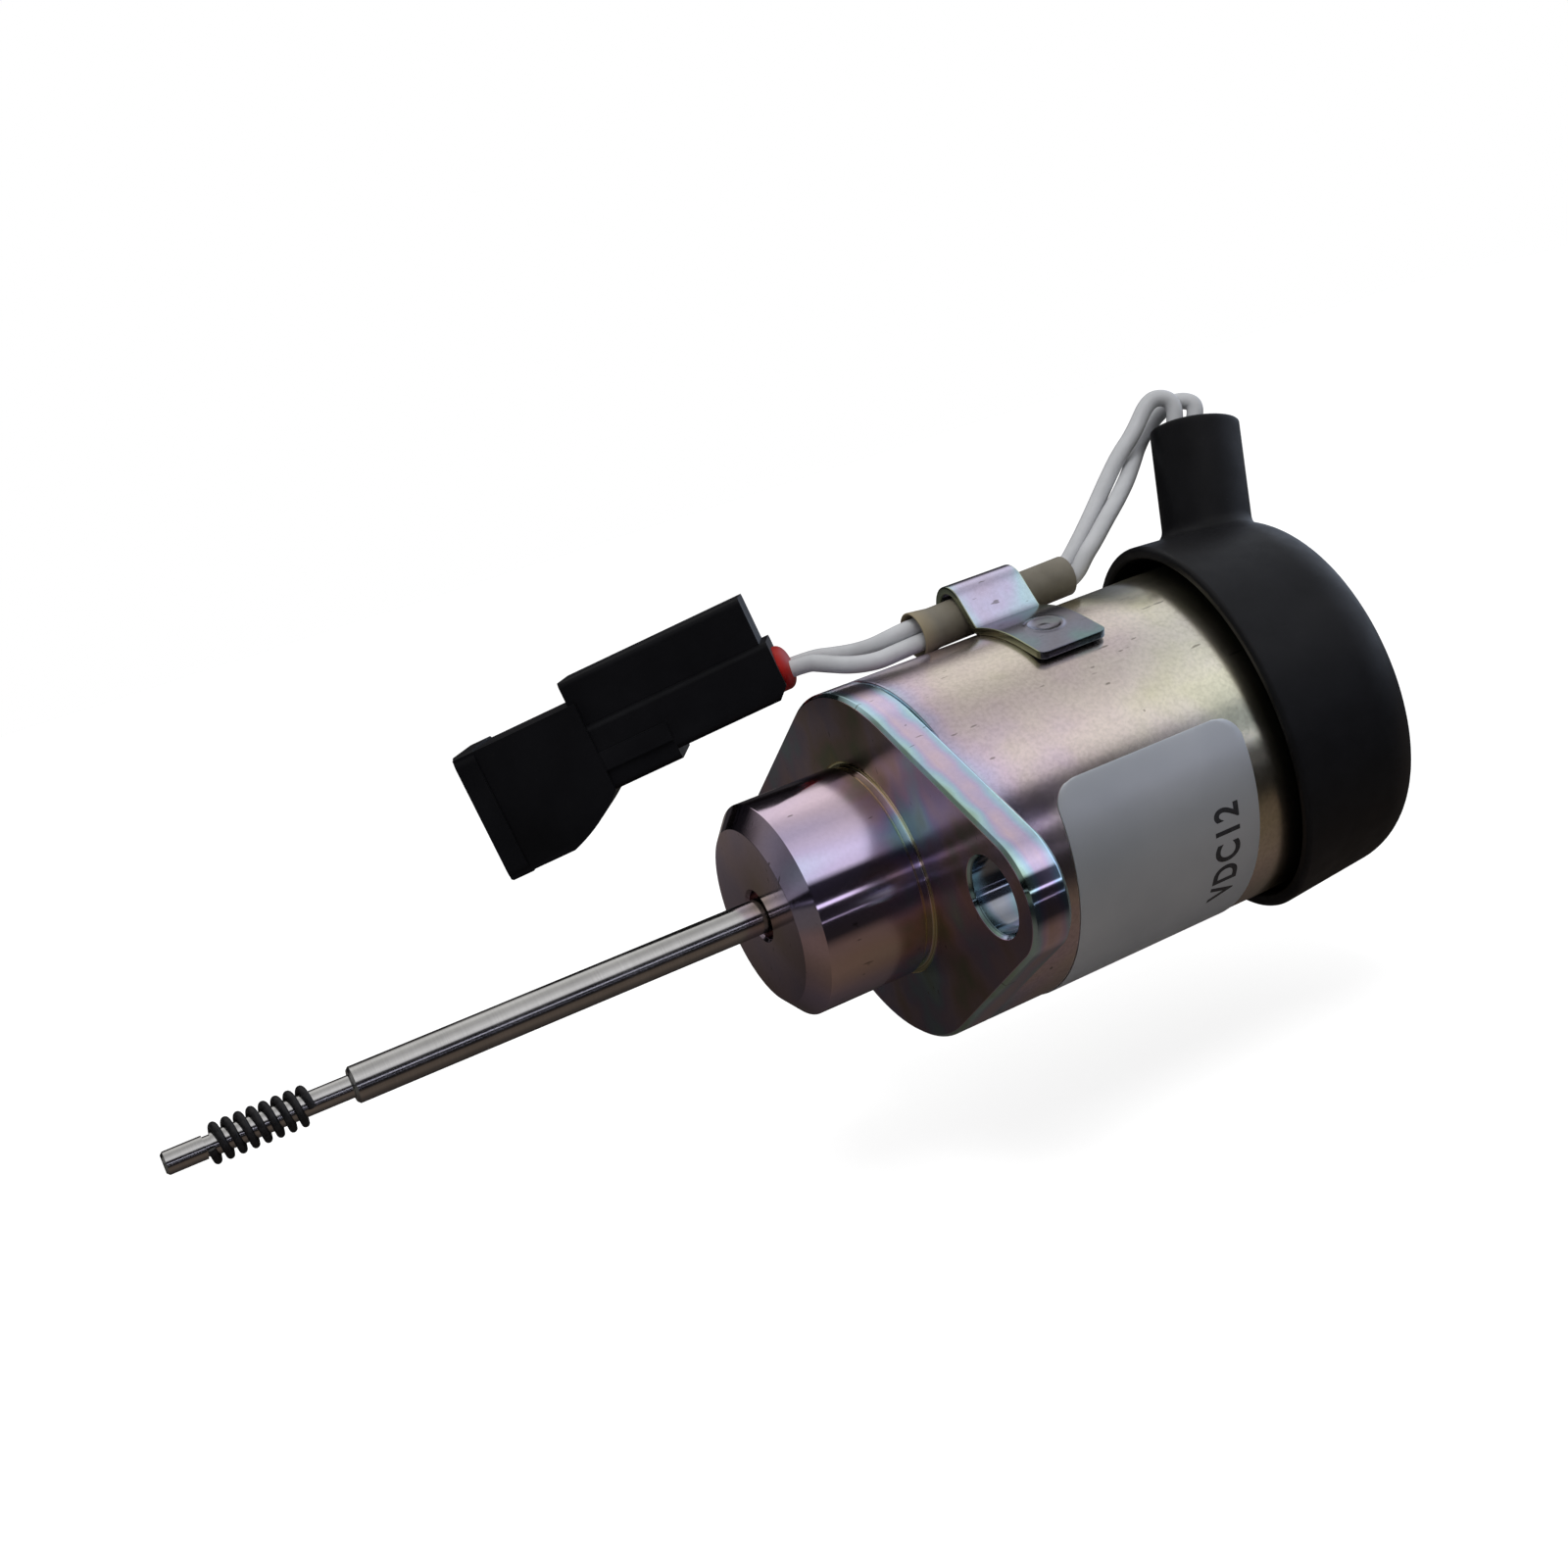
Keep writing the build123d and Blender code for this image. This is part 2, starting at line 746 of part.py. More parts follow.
# Plug housing: body, latch block, belly and the shroud with its keel
body_height = body_top - body_bottom
keel_start = plug_length - keel_length
lock_half_height = seal_half_height + plug_corner
well_bottom = seal_height - lock_half_height - lock_gap
with BuildPart() as plug_housing:
    with BuildSketch(plug_section.offset(plug_start)):
        with Locations((0, (body_top + body_bottom) / 2)):
            RectangleRounded(2 * body_half_width, body_height, plug_corner)
    extrude(amount=body_length)
    with BuildSketch(plug_section.offset(belly_start)):
        with Locations((0, (body_top + belly_bottom) / 2)):
            RectangleRounded(2 * body_half_width, body_top - belly_bottom, plug_corner)
    extrude(amount=body_length + plug_start - belly_start)
    with BuildSketch(plug_section.offset(block_start)):
        with Locations((0, (block_top + body_bottom) / 2)):
            RectangleRounded(2 * block_half_width, block_top - body_bottom, plug_corner)
    extrude(amount=block_length)
    with BuildSketch(plug_side):
        with BuildLine():
            Line((shroud_start, belly_bottom), (shroud_start, shroud_top))
            Line((shroud_start, shroud_top), (plug_length, shroud_top))
            Line((plug_length, shroud_top), (plug_length, shroud_bottom))
            Line((plug_length, shroud_bottom), (keel_start, shroud_bottom))
            ThreePointArc((keel_start, shroud_bottom), keel_middle, (shroud_start, belly_bottom))
        make_face()
    extrude(amount=shroud_half_width, both=True)
    with BuildSketch(plug_section.offset(plug_length - rim_length)):
        with Locations((0, (shroud_top + shroud_bottom) / 2)):
            RectangleRounded(
                2 * (shroud_half_width + rim_proud),
                shroud_top - shroud_bottom + 2 * rim_proud,
                plug_corner * 2,
            )
    extrude(amount=rim_length)
    with BuildSketch(plug_side):
        with BuildLine():
            Polyline(
                (plug_start, body_bottom),
                (plug_start + body_chamfer, body_bottom),
                (plug_start, body_bottom + body_chamfer),
                close=True,
            )
        make_face()
    extrude(amount=body_half_width, both=True, mode=Mode.SUBTRACT)
    for rib_side in (-1, 1):
        with BuildSketch(plug_section.offset(belly_start)):
            with Locations((rib_side * body_half_width, 0)):
                Rectangle(2 * rib_height, 3 * plug_corner)
        extrude(amount=shroud_start - belly_start)
    with BuildSketch(plug_section.offset(plug_length)):
        with Locations((0, (shroud_top + shroud_bottom) / 2)):
            RectangleRounded(
                2 * (shroud_half_width - shroud_wall),
                shroud_top - shroud_bottom - 2 * shroud_wall,
                plug_corner * 2,
            )
    extrude(amount=-keel_length, mode=Mode.SUBTRACT)
    with BuildSketch(plug_section.offset(plug_length)):
        with Locations((0, (shroud_top - shroud_wall + well_bottom) / 2)):
            RectangleRounded(
                2 * (shroud_half_width - shroud_wall),
                shroud_top - shroud_wall - well_bottom,
                plug_corner,
            )
    extrude(amount=-shroud_depth, mode=Mode.SUBTRACT)
    with BuildSketch(plug_section.offset(plug_start)):
        with Locations((0, seal_height)):
            Ellipse(seal_half_width + seat_gap, seal_half_height + seat_gap)
    extrude(amount=seal_depth, mode=Mode.SUBTRACT)
    with BuildSketch(plug_section.offset(plug_start)):
        with Locations((pin_spacing / 2, seal_height), (-pin_spacing / 2, seal_height)):
            Circle(pin_barrel_radius + seat_gap)
    extrude(amount=plug_length, mode=Mode.SUBTRACT)
    with BuildSketch(plug_section.offset(block_start + block_length)):
        with Locations((0, (slot_floor + block_top - shroud_wall) / 2)):
            Rectangle(2 * slot_half_width, block_top - shroud_wall - slot_floor)
    extrude(amount=-slot_depth, mode=Mode.SUBTRACT)
finish(plug_housing, "plug_housing")

# Red seal in the back of the plug, with a hole for each wire
with BuildPart() as plug_seal:
    with BuildSketch(plug_section.offset(plug_start - seal_proud)):
        with Locations((0, seal_height)):
            Ellipse(seal_half_width, seal_half_height)
        with Locations((pin_spacing / 2, seal_height), (-pin_spacing / 2, seal_height)):
            Circle(wire_radius + slide_gap, mode=Mode.SUBTRACT)
    extrude(amount=seal_proud + seal_depth - seat_gap)
finish(plug_seal, "plug_seal")

# Pin terminals: a barrel on the wire's end and a blade that reaches into the shroud
for pin_name, pin_side in {"pin_far": -1, "pin_near": 1}.items():
    with BuildPart() as pin:
        with BuildSketch(plug_section.offset(wire_end + seat_gap)):
            with Locations((pin_side * pin_spacing / 2, seal_height)):
                Circle(pin_barrel_radius)
        extrude(amount=pin_barrel_length)
        with BuildSketch(plug_section.offset(wire_end + pin_barrel_length)):
            with Locations((pin_side * pin_spacing / 2, seal_height)):
                Rectangle(pin_blade_thickness, pin_blade_width)
        extrude(amount=pin_reach - wire_end - pin_barrel_length)
    finish(pin, pin_name)

# Secondary lock, a plate on the shroud's floor with a slot for each pin
with BuildPart() as pin_lock:
    with BuildSketch(plug_section.offset(plug_length - shroud_depth + seat_gap)):
        with Locations((0, seal_height)):
            RectangleRounded(
                2 * (shroud_half_width - shroud_wall - lock_gap),
                2 * lock_half_height,
                plug_corner,
            )
        with Locations((pin_spacing / 2, seal_height), (-pin_spacing / 2, seal_height)):
            Rectangle(
                pin_blade_thickness + 2 * lock_gap,
                pin_blade_width + 2 * lock_gap,
                mode=Mode.SUBTRACT,
            )
    extrude(amount=lock_thickness)
finish(pin_lock, "pin_lock")
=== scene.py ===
# %% [markdown]
# # A fuel shutoff solenoid
#
# This lesson dresses a finished CAD model of a push solenoid: a plated can with an oval
# bolt flange and a round nose, a long stepped rod with a small black spring on its tip, a
# loose rubber boot, a spot-welded clip, two white wires and a sealed black plug. The CAD
# model is loaded first and stays where it is. Its inner pieces keep their own meshes and
# only get finishes. The pieces that the eye lands on are made again as smooth surfaces.

import math

import bmesh
import bpy
import numpy as np
from mathutils import Matrix


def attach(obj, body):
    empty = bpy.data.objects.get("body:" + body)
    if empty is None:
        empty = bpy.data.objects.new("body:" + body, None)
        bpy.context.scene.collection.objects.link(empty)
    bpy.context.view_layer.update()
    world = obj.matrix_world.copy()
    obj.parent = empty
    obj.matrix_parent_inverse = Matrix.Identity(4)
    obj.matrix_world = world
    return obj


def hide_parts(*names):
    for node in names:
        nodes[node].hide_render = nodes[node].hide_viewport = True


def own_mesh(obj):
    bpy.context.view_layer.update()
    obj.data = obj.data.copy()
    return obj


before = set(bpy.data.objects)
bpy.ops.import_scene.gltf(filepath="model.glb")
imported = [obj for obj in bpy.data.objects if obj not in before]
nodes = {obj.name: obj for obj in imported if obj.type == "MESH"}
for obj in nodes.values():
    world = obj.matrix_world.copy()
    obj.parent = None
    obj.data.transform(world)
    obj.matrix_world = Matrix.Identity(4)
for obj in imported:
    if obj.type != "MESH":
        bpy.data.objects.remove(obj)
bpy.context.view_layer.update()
scene = bpy.context.scene


def unit(vector):
    """The vector, or each vector of an array, at length 1."""
    vector = np.asarray(vector, float)
    return vector / np.linalg.norm(vector, axis=-1, keepdims=True)


def add_object(name, data):
    """A new object in the scene that shows the data."""
    piece = bpy.data.objects.new(name, data)
    scene.collection.objects.link(piece)
    return piece


def aim(piece, side, above, away, place):
    """Sets an object's three directions and its place; it looks against the third."""
    matrix = np.eye(4)
    matrix[:3] = np.column_stack([side, above, away, place])
    piece.matrix_world = Matrix(matrix.tolist())


# %% [markdown]
# ## The camera
#
# The photograph looks at the label's side from a little above, with the rod coming towards
# the left. The camera's place and its three directions were found by matching the ends of
# the rod, the flange's outline and the can's two ellipses. A camera looks along its own -Z,
# so the third column of its matrix points backwards, away from the object.

# %% Place the camera
camera_place = np.array([0.088247, 0.199667, 0.058265])
back = unit([0.3643, 0.9089, 0.2028])
right = unit(np.cross([-0.3379, -0.0740, 0.9383], back))

camera_data = bpy.data.cameras.new("camera")
camera_data.sensor_width = 36.0
camera_data.lens = 43.01
camera_data.clip_start = 0.01
camera = add_object("camera", camera_data)
aim(camera, right, np.cross(back, right), back, camera_place)
scene.camera = camera
print("camera", np.round(camera_place, 3), "lens", camera_data.lens, "mm")

# %% [markdown]
# ## The two wires
#
# Each lead is a soft stranded wire, 2.2 mm over its white insulation. It comes up inside the
# snorkel of the boot, turns over its rim, drops to the can, lies under the clip inside a
# sleeve and bends across to the plug. A tube swept along straight pieces would look like
# bent rod, so the line is a NURBS curve of order 3: it leaves each control point on the
# outside and stays smooth, and a round bevel gives it its thickness.

# %% Draw the wires
wire_diameter = 0.0022
upper_route = np.array([
    (-58.2, 2.2, 12.2), (-58.5, 1.4, 16.5), (-58.6, -1.0, 20.6), (-58.5, -3.6, 24.8),
    (-59.96, -5.24, 31.67), (-61.94, -6.74, 37.95), (-62.95, -6.95, 40.30),
    (-62.45, -7.60, 41.95), (-60.15, -8.45, 42.30), (-56.68, -8.51, 38.64),
    (-53.58, -8.41, 36.59), (-50.71, -8.13, 34.10), (-47.65, -7.65, 31.40),
    (-44.85, -7.15, 29.04), (-42.37, -6.85, 27.02), (-40.9, -7.0, 25.7),
    (-39.4, -7.1, 25.26), (-34.0, -7.0, 25.20), (-25.0, -6.9, 25.05),
    (-16.5, -6.87, 24.84), (-13.7, -7.15, 24.5), (-11.7, -9.2, 23.85),
    (-9.9, -12.9, 23.6), (-6.09, -17.52, 24.17), (2.88, -21.65, 22.60),
]) / 1000
lower_route = np.array([
    (-58.2, 6.0, 12.2), (-59.0, 5.2, 16.0), (-60.9, 1.8, 19.6), (-61.3, -3.0, 24.2),
    (-62.85, -5.75, 30.64), (-64.71, -7.16, 36.55), (-66.63, -7.27, 39.62),
    (-65.85, -8.38, 40.76), (-64.20, -10.00, 40.80), (-62.00, -12.00, 38.95),
    (-58.85, -11.20, 36.70), (-55.50, -8.70, 34.85), (-52.83, -6.99, 33.27),
    (-50.06, -6.13, 31.38), (-46.93, -5.20, 29.50), (-44.48, -4.69, 27.73),
    (-42.38, -4.55, 26.27), (-41.0, -4.9, 24.6), (-39.4, -5.5, 23.66),
    (-34.0, -5.6, 23.44), (-25.0, -5.7, 23.13), (-16.5, -5.73, 22.90),
    (-13.4, -5.6, 22.75), (-10.6, -6.0, 22.5), (-8.2, -8.3, 22.75),
    (-6.4, -11.5, 23.5), (-4.22, -13.54, 24.43), (4.75, -17.67, 22.86),
]) / 1000


def wire(name, route):
    """A round tube along the NURBS curve that has the route's points as its control points."""
    curve = bpy.data.curves.new(name, "CURVE")
    curve.dimensions = "3D"
    spline = curve.splines.new("NURBS")
    spline.points.add(len(route) - 1)
    spline.points.foreach_set("co", np.column_stack([route, np.ones(len(route))]).ravel())
    spline.points.foreach_set("radius", np.full(len(route), wire_diameter / 2))
    spline.order_u = 3
    spline.use_endpoint_u = True
    spline.resolution_u = 10
    curve.bevel_depth = 1.0
    curve.bevel_resolution = 7
    curve.use_fill_caps = True
    piece = add_object(name, curve)
    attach(piece, "housing")
    print(name, "has", len(route), "control points")
    return piece


wire_upper = wire("wire_upper", upper_route)
wire_lower = wire("wire_lower", lower_route)
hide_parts("lead_upper")
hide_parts("lead_lower")

# %% [markdown]
# ## Surfaces from grids
#
# Every new piece below is one or more grids of points. A row of the grid is a station along
# the piece and a column is a place round its section. The points come out of numpy as whole
# arrays, in millimetres, and four neighbours make a face. Where grids meet they share the
# same points, so merging the doubles closes the seams, and a row that shrinks to one point
# closes a pole.

# %% Turn grids into a piece
same_place, no_length = 2e-7, 1e-8


def quads(rows, columns, first):
    """The four corners of each cell of a grid whose rows close on themselves, numbered row by
    row from the given first one."""
    row = np.arange(rows - 1)[:, None]
    column = np.arange(columns)[None, :]
    after = (column + 1) % columns
    corners = [row * columns + column, row * columns + after]
    corners += [(row + 1) * columns + after, (row + 1) * columns + column]
    return np.stack(corners, axis=-1).reshape(-1, 4) + first


def surface(name, grids, crease=32.0, keep=None):
    """A mesh piece from grids of rows x columns x 3 points; keep picks faces by their middles."""
    points, faces, first = [], [], 0
    for grid in grids:
        rows, columns = grid.shape[:2]
        points.append(grid.reshape(-1, 3))
        faces.append(quads(rows, columns, first))
        first += rows * columns
    points = np.concatenate(points)
    faces = np.concatenate(faces)
    if keep is not None:
        faces = faces[keep(points[faces].mean(axis=1))]
    mesh = bpy.data.meshes.new(name)
    mesh.from_pydata((points / 1000).tolist(), [], faces.tolist())
    work = bmesh.new()
    work.from_mesh(mesh)
    bmesh.ops.remove_doubles(work, verts=work.verts, dist=same_place)
    bmesh.ops.dissolve_degenerate(work, edges=work.edges, dist=no_length)
    loose = [vertex for vertex in work.verts if not vertex.link_faces]
    bmesh.ops.delete(work, geom=loose, context="VERTS")
    bmesh.ops.recalc_face_normals(work, faces=work.faces)
    work.to_mesh(mesh)
    work.free()
    mesh.shade_smooth()
    mesh.set_sharp_from_angle(angle=math.radians(crease))
    piece = add_object(name, mesh)
    print(name, "has", len(mesh.polygons), "faces")
    return piece


# %% Round the corners of a profile
def rounded(points, radii, steps=5):
    """A line through the points with each corner replaced by an arc of its own radius.

    An arc of radius r at a corner that turns by the angle a starts r * tan(a / 2) before the
    corner. Its points are the centre plus r times the direction that turns from the first
    run's normal to the second one's."""
    points = np.asarray(points, float)
    line = [points[:1]]
    for index, radius in zip(range(1, len(points) - 1), radii):
        before = unit(points[index] - points[index - 1])
        after = unit(points[index + 1] - points[index])
        turn = math.atan2(before[0] * after[1] - before[1] * after[0], before @ after)
        if radius == 0 or abs(turn) < 1e-3:
            line.append(points[index:index + 1])
            continue
        side = np.array([-before[1], before[0]]) * np.sign(turn)
        start = points[index] - before * radius * math.tan(abs(turn) / 2)
        centre = start + side * radius
        angle = np.linspace(0, turn, steps + 1)[:, None]
        across = np.array([side[1], -side[0]])
        line.append(centre + radius * (np.sin(angle) * across - np.cos(angle) * side))
    line.append(points[-1:])
    return np.concatenate(line)


# %% Turn a profile round an axis
def turned(profile, angles, centre=(0, 0, 0), axis=(1, 0, 0), start=(0, 1, 0)):
    """A lathe: the point at a along the axis and r from it, turned by t, lies at
    centre + a * axis + r * (cos t * start + sin t * side), with side square to both."""
    axis, start = unit(axis), np.asarray(start, float)
    start = unit(start - axis * (start @ axis))
    side = np.cross(axis, start)
    spoke = np.cos(angles)[:, None] * start + np.sin(angles)[:, None] * side
    profile = np.asarray(profile, float)
    return centre + profile[:, None, :1] * axis + profile[:, None, 1:] * spoke[None]


full_turn = np.linspace(0, 2 * np.pi, 240, endpoint=False)


# %% Measures along a line and from an axis
def gaps(line):
    """The distance from each point of a line to the next."""
    return np.linalg.norm(np.diff(line, axis=0), axis=1)


def run_length(line):
    """The distance along a line from its first point to each."""
    return np.append(0, np.cumsum(gaps(line)))


def read_off(place, keys, line):
    """The points at the given places of a line whose own points are at the keys."""
    return np.column_stack([np.interp(place, keys, column) for column in line.T])


def refined(line, step):
    """The same line with points added so that none are further apart than the step."""
    counts = np.maximum(1, np.ceil(gaps(line) / step)).astype(int)
    place = np.concatenate([index + np.arange(count) / count for index, count in enumerate(counts)])
    return read_off(np.append(place, len(line) - 1), np.arange(len(line)), line)


def along_and_away(points, foot, axis):
    """How far along an axis from its foot each point lies, and how far away from it."""
    offset = points - foot
    along = offset @ axis
    return along, np.linalg.norm(offset - along[..., None] * axis, axis=-1)


def spoke_at(degrees):
    """Unit directions in the YZ plane, measured from +Y towards +Z."""
    angle = np.radians(degrees)
    return np.stack([np.cos(angle), np.sin(angle)], axis=-1)


# %% [markdown]
# ## Flange and nose
#
# The front of the solenoid is turned from one bar and milled to an oval. The oval is the hull
# of three circles: a big one in the middle and a small one round each bolt hole. At a point
# of the hull whose outward normal is n, the hull is the centre plus the radius times n of
# the circle that reaches furthest along n, and on the straight stretch between two circles
# both change evenly. Taking a little off every radius gives the same oval drawn inwards, so
# the rounded rims are free. The flat faces are three rings: one round the nose, out to the
# oval and two cuts across it, and one round each bolt hole, out to the rest of the oval.

# %% The oval's stations
waist_radius, ear_radius, ear_reach = 22.0, 7.8, 27.5
thickness, face_inset, cut_y = 5.0, 0.45, 21.5
tilt = math.acos((waist_radius - ear_radius) / ear_reach)


def quarter_stations():
    """Normal angle, circle's centre and radius at each station of one quarter of the oval,
    from the top of the waist to the tip of the ear."""
    waist, ear = np.linspace(np.pi / 2, tilt, 36), np.linspace(tilt, 0, 40)
    edge_y = (waist_radius - face_inset) * math.cos(tilt)
    tip_y = ear_reach + (ear_radius - face_inset) * math.cos(tilt)
    cut = (cut_y - edge_y) / (tip_y - edge_y)
    share = np.concatenate([np.linspace(0, cut, 14)[1:], np.linspace(cut, 1, 12)[1:-1]])
    angle = np.concatenate([waist, np.full(len(share), tilt), ear])
    share = np.concatenate([waist * 0, share, ear * 0 + 1])
    return angle, share * ear_reach, waist_radius + share * (ear_radius - waist_radius)


angle, centre, radius = quarter_stations()
angle = np.concatenate([angle, -angle[::-1][1:], np.pi + angle[1:], np.pi - angle[::-1][1:-1]])
centre = np.concatenate([centre, centre[::-1][1:], -centre[1:], -centre[::-1][1:-1]])
radius = np.concatenate([radius, radius[::-1][1:], radius[1:], radius[::-1][1:-1]])


def oval(inset, x):
    """The oval drawn inwards by inset, at the height x along the axis."""
    reach = radius - inset
    return np.column_stack([x + 0 * angle, centre + reach * np.cos(angle), reach * np.sin(angle)])


print("the oval has", len(angle), "stations")


# %% Rings between a circle and the oval
def loop_angles(points, middle):
    """The angle of each point of a loop, seen from the middle."""
    return np.arctan2(points[:, 2], points[:, 1] - middle)


def ring(inner_radius, middle, outer):
    """Straight spokes from a circle round the middle to the points of the outer loop."""
    spokes = loop_angles(outer, middle)
    y = middle + inner_radius * np.cos(spokes)
    circle = np.column_stack([outer[:, 0], y, inner_radius * np.sin(spokes)])
    share = np.linspace(0, 1, 9)[:, None, None]
    return circle * (1 - share) + outer * share


def face_loops(x):
    """The outer loops of the three rings of a flat face at x: the middle and the two ears."""
    edge = oval(face_inset, x)
    z = edge[np.abs(edge[:, 1] - cut_y) < 1e-6][:, 2].max()
    chord_z = np.linspace(-z, z, 42)
    chord = np.column_stack([x + 0 * chord_z, cut_y + 0 * chord_z, chord_z])
    mirrored = chord * [1, -1, 1]
    middle = np.concatenate([edge[np.abs(edge[:, 1]) < cut_y - 1e-6], chord, mirrored])
    near = np.concatenate([edge[edge[:, 1] > cut_y + 1e-6], chord])
    far = np.concatenate([edge[edge[:, 1] < -cut_y - 1e-6], mirrored])
    loops = []
    for loop, place in ((middle, 0), (near, ear_reach), (far, -ear_reach)):
        loops.append(loop[np.argsort(loop_angles(loop, place))])
    return loops


front_middle, front_near, front_far = face_loops(0.0)
back_middle, back_near, back_far = face_loops(-thickness)
nose_angles = loop_angles(front_middle, 0)
print("the ring round the nose has", len(nose_angles), "spokes")

# %% Assemble flange and nose
nose_radius, nose_length, nose_foot, spigot_radius = 13.25, 16.0, 13.6, 19.97
rod_bore, bush_bore = 3.0, 4.0
hole_radius, hole_rim, back_hole_rim = 4.5, 4.95, 4.75
rim_section = rounded(
    [(0, face_inset), (-face_inset, 0), (-thickness + face_inset, 0), (-thickness, face_inset)],
    [0.25, 0.25],
)
rim_grid = np.stack([oval(inset, x) for x, inset in rim_section])
nose_profile = rounded(
    [
        (0, nose_foot), (-0.1, 13.5), (-0.1, 13.3), (0.14, 12.9), (0.95, 12.8),
        (1.35, nose_radius), (nose_length - 2.05, nose_radius), (nose_length, nose_radius - 2.4),
        (nose_length, 3.35), (nose_length - 0.35, rod_bore), (13.0, rod_bore), (13.0, bush_bore),
        (-4.1, bush_bore), (-4.1, 7.0), (-8.0, 7.0), (-8.0, spigot_radius),
        (-thickness, spigot_radius),
    ],
    [0.04, 0.05, 0.15, 0.3, 0.2, 0.15, 0.12, 0.06, 0.06, 0, 0, 0, 0, 0, 0.2],
)
hole_profile = rounded(
    [
        (0, hole_rim), (-0.45, hole_radius), (-thickness + 0.25, hole_radius),
        (-thickness, back_hole_rim),
    ],
    [0.15, 0.15],
)
flange_grids = [
    rim_grid,
    turned(nose_profile, nose_angles),
    ring(nose_foot, 0, front_middle),
    ring(spigot_radius, 0, back_middle),
]
for place, front_loop, back_loop in (
    (ear_reach, front_near, back_near),
    (-ear_reach, front_far, back_far),
):
    hole_angles = loop_angles(front_loop, place)
    flange_grids.append(turned(hole_profile, hole_angles, (0, place, 0)))
    flange_grids.append(ring(hole_rim, place, front_loop))
    flange_grids.append(ring(back_hole_rim, place, back_loop))
flange = surface("flange_and_nose", flange_grids, crease=26)
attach(flange, "housing")
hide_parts("end_flange")

# %% [markdown]
# ## Can
#
# The can is a drawn steel cup whose back edge is rolled over the rear plate. It is a plain
# turned shape, so its profile is drawn as a closed loop, wall thickness and all, and turned
# once round. The rolled edge and the front edge have small radii, because a plated edge
# always catches a line of light.

# %% Turn the can
can_radius, can_bore, lip_bore = 22.0, 20.0, 18.0
can_front, can_back, lip_front = -5.03, -53.6, -52.4
can_profile = rounded(
    [
        (-20, can_bore), (can_front, can_bore), (can_front, can_radius), (can_back, can_radius),
        (can_back, lip_bore), (lip_front, lip_bore), (lip_front, can_bore), (-20, can_bore),
    ],
    [0.1, 0.3, 1.2, 0.3, 0.1, 0.1],
)
can = surface("can", [turned(can_profile, full_turn)], crease=40)
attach(can, "housing")
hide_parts("case_can")

# %% [markdown]
# ## Rod and tip spring
#
# The rod is ground steel with a thin front end. The small black spring grips that end. A
# spring is a circle carried along a helix: at the turn angle t the centre is p * t / 2 pi
# along the axis and r from it, and the wire's circle stands in the plane of the radius and
# of the axis tipped by the pitch. At each end the circle shrinks to a point, which closes it.

# %% Turn the rod
rod_profile = rounded(
    [
        (86.7, 0), (86.7, 1.005), (86.4, 1.305), (82.28, 1.305), (82.28, 1.105), (81.48, 1.105),
        (81.48, 1.305), (66.2, 1.305), (66.2, 1.815), (65.9, 2.115), (-33.5, 2.115),
        (-33.5, 1.8), (-51.53, 1.8), (-51.53, 1.55), (-52.19, 1.55), (-52.19, 1.8),
        (-53.7, 1.8), (-53.7, 0),
    ],
    [0.08, 0.08, 0, 0, 0, 0, 0.15, 0.08, 0.08, 0, 0, 0, 0, 0, 0, 0.1],
)
rod = surface("rod", [turned(rod_profile, full_turn[::2])], crease=30)
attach(rod, "rod")
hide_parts("push_rod")


# %% Wind the tip spring
def coil(turns, pitch, mean_radius, wire_radius, start_x):
    """A closed tube along a helix, with its ends drawn in to a point on the wire's own axis."""
    turn = np.linspace(0, 2 * np.pi * turns, int(turns * 40) + 1)
    turn = np.concatenate([turn[:1], turn, turn[-1:]])
    size = np.ones(len(turn))
    size[[0, -1]] = 0
    around = np.linspace(0, 2 * np.pi, 20, endpoint=False)
    along = start_x + pitch * turn / (2 * np.pi)
    radial = np.column_stack([0 * turn, np.cos(turn), np.sin(turn)])
    slope = math.atan(pitch / (2 * np.pi * mean_radius))
    tangent = np.column_stack([0 * turn, -np.sin(turn), np.cos(turn)])
    binormal = math.cos(slope) * np.array([1.0, 0, 0]) - math.sin(slope) * tangent
    middle = np.column_stack([along, 0 * turn, 0 * turn]) + mean_radius * radial
    section = np.cos(around)[None, :, None] * radial[:, None]
    section = section + np.sin(around)[None, :, None] * binormal[:, None]
    return middle[:, None] + wire_radius * size[:, None, None] * section


tip_grid = coil(turns=8, pitch=1.36, mean_radius=1.795, wire_radius=0.43, start_x=70.92)
spring = surface("tip_coil", [tip_grid], crease=50)
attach(spring, "rod")
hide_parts("tip_spring")

# %% Copy the return spring
# Its front end rests on the pole core, and its back end on the plunger.
return_coil = add_object("return_coil", nodes["return_spring"].data.copy())
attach(return_coil, "housing")
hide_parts("return_spring")
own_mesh(return_coil)

# %% [markdown]
# ## Boot and snorkel
#
# The boot is a loose cup of black rubber that slips over the back of the can and sits a
# little askew. Its wall is one closed profile turned round its own slanted axis. The snorkel
# that the wires leave by is a tube on its side. Rubber is moulded, so the two run into each
# other with a fillet. For each direction round the snorkel, three points are found: where
# the tube meets the boot, one further out on the boot and one further up the tube. The
# fillet is the curve (1-s)^2 A + 2 s (1-s) B + s^2 C that starts and ends along both.

# %% The boot's own directions
boot_centre = np.array([-49.1, 0.05, 0.6])
boot_axis = unit([-1, 0.177, 0.06])
boot_side = unit(np.cross([0, 0, 1], boot_axis))
boot_up = np.cross(boot_axis, boot_side)
boot_length, boot_rim, boot_end, boot_wall, boot_corner = 18.9, 25.0, 23.2, 1.6, 7.2
boot_slope = (boot_rim - boot_end) / boot_length

